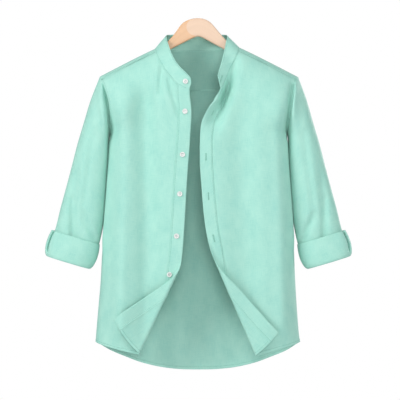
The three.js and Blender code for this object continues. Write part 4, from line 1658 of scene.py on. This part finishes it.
@dataclass
class Collar:
    """The standing band collar, open at the front."""

    columns: int = 260
    rows: int = 16
    lift: float = 0.3
    bow: float = 0.7
    margin: int = 4
    aim: int = 4
    button_in: int = 9

    def seam(self) -> Array:
        """The collar seam all round, as even points on the pieces it is sewn to.

        Returns:
            The points.
        """
        def on_front(front: Front) -> Array:
            """The seam on one front."""
            places = np.concatenate([front.neck_path()[0], front.neck_path()[1][1:]])
            return TORSO.front(places[:, 0], places[:, 1])

        back = Yoke().neck_path(150)
        middle = TORSO.yoke(back[:, 0], back[:, 1])
        whole = np.concatenate([on_front(RIGHT_FRONT), middle[2:-2], on_front(LEFT_FRONT)[::-1]])
        return resample(whole, self.columns)

    def grid(self) -> Array:
        """Points from the seam to the free edge, on straight lines that bow out a little.

        Returns:
            Points by row and column.
        """
        seam = self.seam()
        at = spread(self.columns)
        edge = np.stack([column(COLLAR_EDGE, "at", key, at) for key in "xyz"], axis=-1)
        rise = unit(edge - seam)
        length = np.linalg.norm(edge - seam, axis=1)
        share = spread(self.rows)[:, None, None]
        start = (self.lift / length)[None, :, None]
        share = lerp(start, 1, share)
        out = unit(np.cross(np.gradient(seam, axis=0), rise))
        return lerp(seam, edge, share) - self.bow * np.sin(math.pi * share) * out

    def end_place(self, sign: int) -> tuple[Array, Array, Array]:
        """Where a button sits at the end on the side of a sign.

        Args:
            sign: Less than zero for the wearer's right end.

        Returns:
            The point on the collar's middle surface, the way towards that end, and the way out
            of the cloth on the viewer's side.
        """
        grid = self.grid()
        row = grid.shape[0] // 2
        at = self.button_in if sign < 0 else grid.shape[1] - 1 - self.button_in
        out = facing_viewer(grid_normals(grid)[row, at])
        return grid[row, at], grid[row, at + sign * self.aim] - grid[row, at], out

    def build(self, finishes: Finishes) -> bpy.types.Object:
        """The collar with a row of stitching just inside its edges.

        Args:
            finishes: The materials.

        Returns:
            The collar.
        """
        grid = self.grid()
        normals = grid_normals(grid)
        piece = write_piece("collar_band", shell(grid, normals, DOUBLE), finishes.cloth,
                            Slot.CLOTH, ("collar",))
        inside = slice(self.margin, -self.margin)
        stitches = []
        for side in (1, -1):
            for row in (1, self.rows - 1):
                out = side * normals[row, inside]
                stitches.append(STITCHES.row(grid[row, inside] + 0.55 * DOUBLE * out, out))
        sewn = write_piece("collar_stitching", join(stitches), finishes.thread, Slot.CLOTH)
        return piece


def flattened(turn: Array) -> Array:
    """How far a flattened tube stands out at a turn: a sine with fuller shoulders."""
    bulge = (1 - np.abs(np.cos(turn)) ** FULLNESS) ** (1 / FULLNESS)
    return np.sign(np.sin(turn)) * bulge


@dataclass
class Sleeve:
    """One rolled-up sleeve, a tube from the armhole to the cuff."""

    name: str
    sign: int
    head: Table
    points: int = 132
    rings: int = 150
    easing: float = 0.24
    crowding: float = 1.5
    length: float = 380
    seam_out: float = 0.2
    seam_proud: float = 0.9
    seam_ease: float = 4.5
    seam_turn: float = 1.3
    roll_at: float = 2.6
    roll_wide: float = 1.5
    folds: Folds = Folds(SLEEVE_FOLDS)
    drift: Drift = Drift(seed=5, size=0.7, short=30, long=90)

    def armhole(self, turn: Array) -> Array:
        """Points of the armhole: turn 0 is the shoulder tip, a quarter turn the front.

        Args:
            turn: Angles.

        Returns:
            The points.
        """
        top = TORSO.ridge(TORSO.tip_reach)
        z = lerp(TORSO.underarm, top, (1 + np.cos(turn)) / 2)
        x = TORSO.side(self.sign, z)
        drop = np.maximum(0, TORSO.ridge(x) - z)
        front, back = TORSO.depth(x, z, drop, "front"), TORSO.depth(x, z, drop, "back")
        return np.stack([x, np.where(np.sin(turn) > 0, -front, back), z], axis=-1)

    def section(self, share: Array, turn: Array) -> Array:
        """Points of the plain sections between their outer and inner edges.

        Args:
            share: Shares along the sleeve.
            turn: Angles.

        Returns:
            The points.
        """
        row = columns(SLEEVE, "at", share * SLEEVE["at"][-1])
        out = (1 + np.cos(turn)) / 2
        x = lerp(row["inX"], row["outX"], out)
        z = lerp(row["inZ"], row["outZ"], out)
        return np.stack([self.sign * x, -row["depth"] * flattened(turn), z], axis=-1)

    def grid(self) -> Array:
        """Rings that ease from the armhole's curve to the plain sections, with folds on them.

        Close to the seam the rings also follow the folds of the body, which fade within a few
        millimetres, and the folds beside the armhole come in as fast.
        """
        turn = around(self.points)[None, :]
        share = (spread(self.rings) ** self.crowding)[:, None]
        point = self.section(share, turn)
        armhole = self.armhole(turn)
        seam_shift = armhole - self.section(np.zeros((1, 1)), turn)
        seam_shift[..., 0] += self.sign * self.seam_out
        seam_shift[..., 1] -= self.seam_proud * np.sin(turn)
        ease = 1 - smooth(share / self.easing)
        point = point + seam_shift * ease[..., None]
        faces = [face(armhole[..., 0], armhole[..., 2])[..., 1] for face in (TORSO.front, TORSO.back)]
        body = np.where(np.sin(turn) > 0, *faces)
        apart = share * self.length
        point[..., 1] += (body - armhole[..., 1]) * np.exp(-((apart / self.seam_ease) ** 2))
        x, z = np.abs(point[..., 0]), point[..., 2]
        loose = np.sin(turn) * (1 - ease)
        point[..., 1] += loose * (self.folds.shift(x, z) + self.drift.shift(x, z))
        out = x - np.abs(TORSO.side(self.sign, z))
        point[..., 1] += np.maximum(0, np.sin(turn)) ** 0.5 * self.head_shift(out, z)
        return point

    def head_shift(self, out: Array, z: Array) -> Array:
        """The fold beside the armhole and the roll beyond it, at distances out from the body.

        Args:
            out: Distances out from the body's side.
            z: Places up.

        Returns:
            How far the front of the sleeve moves back.
        """
        row = columns(self.head, "z", z)
        past = np.maximum(0, out - row["place"]) / row["width"]
        roll = (out - row["place"] - self.roll_at * row["width"]) / (self.roll_wide * row["width"])
        shift = row["depth"] * np.exp(-(past**2)) + row["roll"] * np.exp(-(roll**2))
        return shift * smooth(out / self.seam_turn)

    def build(self, finishes: Finishes) -> bpy.types.Object:
        """The sleeve, set in with a plain seam that shows no stitching.

        Args:
            finishes: The materials.

        Returns:
            The sleeve.
        """
        grid = self.grid()
        normals = grid_normals(grid, True)
        piece = write_piece(f"sleeve_{self.name}_cloth", shell(grid, normals, SINGLE, True),
                            finishes.cloth, Slot.CLOTH, (f"sleeve_{self.name}",))
        return piece


@dataclass
class Cuff:
    """The turned-up cuff: doubled cloth rolled out over the sleeve's end."""

    name: str
    sign: int
    x: float = 283
    z: float = -505
    lean_x: float = 0.29
    lean_z: float = -0.957
    points: int = 264
    rings: int = 56
    drift: Drift = Drift(seed=12, size=0.5, short=25, long=70)
    slit_turn: float = 0.42
    slit_wide: float = 0.07
    slit_in: float = 6
    slit_deep: float = 15
    slit_from: float = 4.6
    outside: float = 4

    def grid(self) -> Array:
        """Rings round the leaning axis, from inside the sleeve's end round the lip and up.

        A narrow groove, a bell across, runs up the outer wall on the front near its outer fold.
        """
        turn = around(self.points)[None, :]
        at = (spread(self.rings) * CUFF_PROFILE["at"][-1])[:, None]
        ring = columns(CUFF_PROFILE, "at", at)
        out = ring["halfWidth"] * np.cos(turn)
        x = self.x + self.lean_x * ring["along"] - self.lean_z * out
        z = self.z + self.lean_z * ring["along"] + self.lean_x * out
        y = -ring["halfDepth"] * flattened(turn)
        y = y + np.sin(turn) * smooth(at / self.outside - 1) * self.drift.shift(x, z)
        slit = np.exp(-(((turn - self.slit_turn) / self.slit_wide) ** 2)) * smooth(at - self.slit_from)
        return np.stack([self.sign * (x - self.slit_in * slit), y + self.slit_deep * slit, z], axis=-1)

    def build(self, finishes: Finishes) -> bpy.types.Object:
        """The cuff, whose free edge is turned in and shows no stitching.

        Args:
            finishes: The materials.

        Returns:
            The cuff.
        """
        grid = self.grid()
        normals = grid_normals(grid, True)
        piece = write_piece(f"cuff_{self.name}_roll", shell(grid, normals, DOUBLE, True),
                            finishes.cloth, Slot.CLOTH, (f"cuff_{self.name}",))
        return piece


def tube(rings: Array, first: Array, last: Array) -> tuple[Array, Array]:
    """A closed tube through rings of points, with a fan of triangles at each end.

    Args:
        rings: Points by ring and place round it.
        first: The point in the middle of the first ring.
        last: The point in the middle of the last ring.

    Returns:
        The points and the triangles: two for each cell, then the fans.
    """
    ids = np.arange(rings.shape[0] * rings.shape[1]).reshape(rings.shape[:2])
    quads = np.stack(corners(wrapped(ids)), axis=-1).reshape(-1, 4)
    points = np.concatenate([rings.reshape(-1, 3), [first, last]])
    fans = []
    for ring, centre in ((ids[0], ids.size), (ids[-1, ::-1], ids.size + 1)):
        fans.append(np.stack([np.roll(ring, -1), ring, np.full(len(ring), centre)], axis=-1))
    return points, np.concatenate([quads[:, :3], quads[:, [0, 2, 3]], *fans])


@dataclass
class Button:
    """A dished four-hole button and its thread."""

    sides: int = 48
    drill_sides: int = 14
    drill_foot: float = -1.0
    drill_top: float = 4.0
    hole: float = 1.05
    spread: float = 1.55
    turn: float = 0.3
    seat: float = 0.5
    thread_height: float = 1.95
    thread_apart: float = 0.22

    def ring(self, count: int, radius: float, height: float) -> Array:
        """Points round the axis at a radius and a height."""
        x, y = np.cos(around(count)), np.sin(around(count))
        return np.stack([radius * x, radius * y, np.full(count, height)], axis=-1)

    def lathe(self) -> Shape:
        """The profile turned about the button's axis: a flat foot, a round rim, a dished middle.

        Returns:
            The blank.
        """
        rings = np.stack([self.ring(self.sides, *place) for place in BUTTON_PROFILE[1:-1]])
        ends = [(0, 0, BUTTON_PROFILE[k, 1]) for k in (0, -1)]
        return facing_out(Shape(*tube(rings, *ends)))

    def drills(self) -> Shape:
        """Four upright cylinders, one for each hole.

        Returns:
            The drills.
        """
        shapes = []
        for x, y in ((1, 1), (-1, 1), (-1, -1), (1, -1)):
            middle = np.array([x * self.spread, y * self.spread, 0.0])
            heights = (self.drill_foot, self.drill_top)
            rings = np.stack([self.ring(self.drill_sides, self.hole, h) for h in heights]) + middle
            shapes.append(facing_out(Shape(*tube(rings, *(middle + (0, 0, h) for h in heights)))))
        return join(shapes)

    def drilled(self) -> Shape:
        """The turned blank less its drills, cut by a passing Boolean modifier.

        Returns:
            The drilled button.
        """
        def scratch(name: str, shape: Shape) -> bpy.types.Object:
            """A passing object for the cut."""
            mesh = bpy.data.meshes.new(name)
            mesh.from_pydata(shape.points.tolist(), [], shape.faces.tolist())
            made = bpy.data.objects.new(name, mesh)
            bpy.context.scene.collection.objects.link(made)
            return made

        blank = scratch("button_blank", self.lathe())
        drill = scratch("button_drill", self.drills())
        cut = blank.modifiers.new("holes", "BOOLEAN")
        cut.object, cut.operation, cut.solver = drill, "DIFFERENCE", "EXACT"
        bpy.context.view_layer.update()
        settled = blank.evaluated_get(bpy.context.evaluated_depsgraph_get())
        done = settled.to_mesh()
        done.calc_loop_triangles()
        points = np.empty(3 * len(done.vertices), np.float32)
        done.vertices.foreach_get("co", points)
        faces = np.empty(3 * len(done.loop_triangles), np.int32)
        done.loop_triangles.foreach_get("vertices", faces)
        shape = Shape(points.reshape(-1, 3).astype(float), faces.reshape(-1, 3))
        settled.to_mesh_clear()
        for made in (blank, drill):
            bpy.data.objects.remove(made, do_unlink=True)
        return shape

    def thread(self) -> Shape:
        """Two pairs of threads between the holes.

        Returns:
            The threads.
        """
        middles = np.array([
            (side * self.spread + step, 0, self.thread_height)
            for side in (-1, 1) for step in (self.thread_apart, -self.thread_apart)
        ])
        ways, normals = np.tile([0.0, 1.0, 0.0], (4, 1)), np.tile([0.0, 0.0, 1.0], (4, 1))
        return beads(middles, ways, normals, (2 * self.spread + 1.3, 0.5, 0.5))

    def placed(self, shape: Shape, place: Array, facing: Array) -> Shape:
        """A shape whose axis is turned to face out of the cloth, at its place.

        Args:
            shape: The shape.
            place: Its place.
            facing: The direction out of the cloth.

        Returns:
            The moved shape.
        """
        facing = unit(facing)
        side = unit(np.cross([0.0, 0.0, 1.0], facing))
        up = np.cross(facing, side)
        c, s = math.cos(self.turn), math.sin(self.turn)
        frame_of = np.stack([c * side + s * up, -s * side + c * up, facing])
        return Shape(shape.points @ frame_of + place, shape.faces)

    def build(self, name: str, middle: Array, facing: Array, finishes: Finishes) -> None:
        """The button and its thread on the cloth.

        Args:
            name: The CAD node that it stands for.
            middle: The point in the middle of the doubled cloth under it.
            facing: The direction out of the cloth.
            finishes: The materials.
        """
        seat = middle + facing * DOUBLE / 2 + self.seat * facing
        write_piece(f"{name}_turned", self.placed(BLANK, seat, facing), finishes.plastic,
                    Slot.BUTTON, (name,))
        write_piece(f"{name}_thread", self.placed(self.thread(), seat, facing),
                    finishes.button_thread, Slot.CLOTH)


BLANK = Button().drilled()


def build_buttons(collar: Collar, finishes: Finishes) -> None:
    """Five buttons on the wearer's right band and one on the collar's right end.

    Args:
        collar: The collar.
        finishes: The materials.
    """
    for number, (z, share) in enumerate(BUTTON_ROWS, 1):
        place, facing = RIGHT_FRONT.band_place(z, share)
        Button(turn=0.3 + 0.5 * number).build(f"button_{number}", place, facing, finishes)
    place, _, facing = collar.end_place(-1)
    Button(turn=0.9).build("button_collar", place, facing, finishes)


@dataclass
class Buttonholes:
    """Upright worked holes: bars of close stitches at both sides of a slit and across its ends."""

    long: float = 15
    side: float = 1.0
    pitch: float = 0.62
    bar: tuple[float, float, float] = (1.5, 0.6, 0.7)
    tack: tuple[float, float, float] = (3.6, 0.6, 0.9)
    tack_steps: tuple[float, ...] = (-0.5, 0, 0.5)
    below_button: float = 5
    aim_up: float = 4

    def worked(self, place: Array, up: Array, out: Array) -> Shape:
        """One worked hole.

        Args:
            place: Its middle on the cloth's outer face.
            up: The direction along the slit.
            out: The direction out of the cloth.

        Returns:
            Its stitches.
        """
        up, out = unit(up), unit(out)
        across = unit(np.cross(up, out))
        ends = (-self.long / 2, self.long / 2)

        def stitched(heights: Array, side: float, size: tuple[float, float, float]) -> Shape:
            """Stitches across the slit, at heights along it and a distance beside it."""
            middles = place + heights[:, None] * up + side * across
            tiled = (len(heights), 1)
            return beads(middles, np.tile(across, tiled), np.tile(out, tiled), size)

        heights = np.arange(ends[0], ends[1] + 0.01, self.pitch)
        bars = [stitched(heights, side, self.bar) for side in (-self.side, self.side)]
        tacks = np.array([end + step for end in ends for step in self.tack_steps])
        return join([*bars, stitched(tacks, 0, self.tack)])

    def build(self, collar: Collar, finishes: Finishes) -> None:
        """The holes on the wearer's left band and collar end.

        Args:
            collar: The collar.
            finishes: The materials.
        """
        shapes = []
        for z, _ in BUTTON_ROWS:
            place, out = LEFT_FRONT.band_place(z - self.below_button, 0.5)
            above, _ = LEFT_FRONT.band_place(z - self.below_button + self.aim_up, 0.5)
            shapes.append(self.worked(place + out * DOUBLE / 2, above - place, out))
        place, up, out = collar.end_place(1)
        shapes.append(self.worked(place + out * DOUBLE / 2, up, out))
        write_piece("buttonhole_stitches", join(shapes), finishes.hole_thread, Slot.CLOTH)


@dataclass
class Hanger:
    """The flat wooden hanger: a crown in the neck and two arms under the shoulders."""

    thick: float = 14
    arm_end: float = 205
    arm_start: float = 92
    arm_root: float = 22
    arm_tip: float = 16
    clearance: float = 2.5
    square: float = 7.0
    cloth: float = 1.2
    sections: int = 360
    sides: int = 56
    arm_steps: int = 12
    end_round: float = 5
    end_fall: float = 0.54
    end_least: float = 0.0004

    def arm_top(self, x: Array) -> Array:
        """Height of the arms' tops, as far below the ridge as their thickness fits the cloth.

        Args:
            x: Places across.

        Returns:
            The heights.
        """
        depth = TORSO.depth(x, TORSO.ridge(x), np.full_like(x, TORSO.shoulder_drop), "back")
        half = self.thick / 2 + self.clearance
        fit = TORSO.shoulder_drop * (1 - np.sqrt(1 - (half / depth) ** 2))
        return TORSO.ridge(x) - self.cloth / 2 - TORSO.seam_gap - fit

    def lines(self, x: Array) -> tuple[Array, Array]:
        """Heights of the upper and lower lines at places across.

        Args:
            x: Places across.

        Returns:
            The heights of the two lines.
        """
        arm_x = np.linspace(self.arm_start, self.arm_end, self.arm_steps)
        top_low, top_high = self.arm_top(-arm_x[::-1]), self.arm_top(arm_x)
        drop = np.linspace(self.arm_root, self.arm_tip, self.arm_steps)
        keys_top = np.concatenate([-arm_x[::-1], CROWN_TOP["x"], arm_x])
        top = np.concatenate([top_low, CROWN_TOP["z"], top_high])
        keys_foot = np.concatenate([-arm_x[::-1], CROWN_FOOT["x"], arm_x])
        foot = np.concatenate([top_low - drop[::-1], CROWN_FOOT["z"], top_high - drop])
        return hermite(keys_top, top, x), hermite(keys_foot, foot, x)

    def build(self, finishes: Finishes) -> bpy.types.Object:
        """Squarish sections along the hanger, drawn in to round ends.

        Args:
            finishes: The materials.

        Returns:
            The hanger.
        """
        reach = self.arm_end + self.end_round
        x = np.linspace(-reach, reach, self.sections)
        inside = np.clip(x, -self.arm_end, self.arm_end)
        top, foot = self.lines(inside)
        past = np.abs(x) - np.abs(inside)
        scale = np.sqrt(np.maximum(1 - (past / self.end_round) ** 2, self.end_least))[:, None]
        middle = (top + foot) / 2 - self.end_fall * past
        angle = around(self.sides)
        across, up = (np.sign(v) * np.abs(v) ** (2 / self.square)
                      for v in (np.cos(angle), np.sin(angle)))
        y = self.thick / 2 * scale * across
        z = middle[:, None] + (top - foot)[:, None] / 2 * scale * up
        grid = np.stack([np.broadcast_to(x[:, None], y.shape), y, z], axis=-1)
        points, tris = tube(grid, grid[0].mean(axis=0), grid[-1].mean(axis=0))
        grain = cloth_places(grid, True)[..., ::-1]
        corner_uv = np.stack(corners(grain), axis=-2).reshape(-1, 4, 2)
        caps_uv = np.zeros((2 * self.sides, 3, 2))
        tri_uv = np.concatenate([corner_uv[:, :3], corner_uv[:, [0, 2, 3]], caps_uv])
        shape = facing_out(Shape(points, tris, tri_uv))
        return write_piece("hanger_wood", shape, finishes.wood, Slot.WOOD, ("hanger",))


@dataclass(frozen=True)
class Light:
    """A square soft light: its name, place and side in metres, and its power in watts."""

    name: str
    place: tuple[float, float, float]
    side: float
    power: float

    def build(self, target: tuple[float, float, float]) -> None:
        """Hangs the light so that it faces a target.

        Args:
            target: The place that it faces.
        """
        data = bpy.data.lights.new(self.name, "AREA")
        data.size, data.energy = self.side, self.power
        made = bpy.data.objects.new(self.name, data)
        made.location = self.place
        x, y, z = np.array(target) - np.array(self.place)
        made.rotation_euler = (math.atan2(math.hypot(x, y), -z), 0, math.atan2(-x, y))
        bpy.context.scene.collection.objects.link(made)


LIGHTS = (
    Light("key", (-3.6, -2.4, 1.2), 1.8, 136), Light("right", (3.7, -2.8, 0.6), 1.6, 62),
    Light("front", (0.3, -5.4, 0.4), 2.0, 104), Light("top", (0.0, -1.3, 2.3), 1.2, 20),
    Light("back", (3.2, 4.0, 0.8), 1.6, 110),
)


@dataclass
class Studio:
    """A level camera, soft lights, a white world and a pale floor far below."""

    distance: float = 6.0
    near_face: float = 0.01
    frame_width: float = 0.92
    sensor: float = 36
    far_clip: float = 60
    aim_x: float = 0.00345
    aim_z: float = -0.4188
    target: tuple[float, float, float] = (0.0, 0.0, -0.42)
    world_light: float = 0.2
    floor: float = -1.7
    floor_half: float = 3.5

    def camera(self) -> None:
        """A level camera in front, whose lens takes in the frame's width at the shirt."""
        data = bpy.data.cameras.new("camera")
        data.sensor_width = self.sensor
        data.lens = self.sensor * (self.distance - self.near_face) / self.frame_width
        data.clip_end = self.far_clip
        made = bpy.data.objects.new("camera", data)
        made.location = (self.aim_x, -self.distance, self.aim_z)
        made.rotation_euler = (math.pi / 2, 0, 0)
        bpy.context.scene.collection.objects.link(made)
        bpy.context.scene.camera = made

    def world(self) -> None:
        """White to the camera and softer as light."""
        world = bpy.data.worlds.new("white")
        world.use_nodes = True
        tree = world.node_tree
        tree.nodes.clear()
        path, mix = tree.nodes.new("ShaderNodeLightPath"), tree.nodes.new("ShaderNodeMixShader")
        tree.links.new(path.outputs["Is Camera Ray"], mix.inputs[0])
        for place, strength in ((1, self.world_light), (2, 1.0)):
            white = tree.nodes.new("ShaderNodeBackground")
            white.inputs["Color"].default_value = (1, 1, 1, 1)
            white.inputs["Strength"].default_value = strength
            tree.links.new(white.outputs[0], mix.inputs[place])
        out = tree.nodes.new("ShaderNodeOutputWorld")
        tree.links.new(mix.outputs[0], out.inputs[0])
        bpy.context.scene.world = world

    def ground(self) -> None:
        """The pale floor, faintly mottled."""
        half = self.floor_half
        square = [(x * half, y * half, self.floor) for x, y in ((-1, -1), (1, -1), (1, 1), (-1, 1))]
        mesh = bpy.data.meshes.new("floor")
        mesh.from_pydata(square, [], [(0, 1, 2, 3)])
        shader = Shader("floor_paint")
        mottle = shader.noise(shader.out("ShaderNodeTexCoord", None, None, "Object"), 3.0)
        mesh.materials.append(shader.finish({
            "Base Color": shader.colours(mottle, (0.3, (0.78, 0.78, 0.78)), (0.7, (0.82, 0.82, 0.82))),
            "Roughness": 0.9,
        }))
        made = bpy.data.objects.new("floor", mesh)
        bpy.context.scene.collection.objects.link(made)

    def build(self) -> None:
        """The whole studio."""
        self.camera()
        self.world()
        for light in LIGHTS:
            light.build(self.target)
        self.ground()
        bpy.context.scene.view_settings.view_transform = "Standard"


def main() -> None:
    """Builds every sub-assembly in order."""
    Studio().build()
    finishes = Finishes()
    Hanger().build(finishes)
    Back().build(finishes)
    for front, band in ((RIGHT_FRONT, "placket_buttons"), (LEFT_FRONT, "placket_buttonholes")):
        front.build_panel(finishes)
        front.build_band(band, finishes)
    Yoke().build(finishes)
    collar = Collar()
    collar.build(finishes)
    for name, sign, head in (("right", -1, HEAD_RIGHT), ("left", 1, HEAD_LEFT)):
        Cuff(name, sign).build(finishes)
        Sleeve(name, sign, head).build(finishes)
    build_buttons(collar, finishes)
    Buttonholes().build(collar, finishes)


if __name__ == "__main__":
    main()
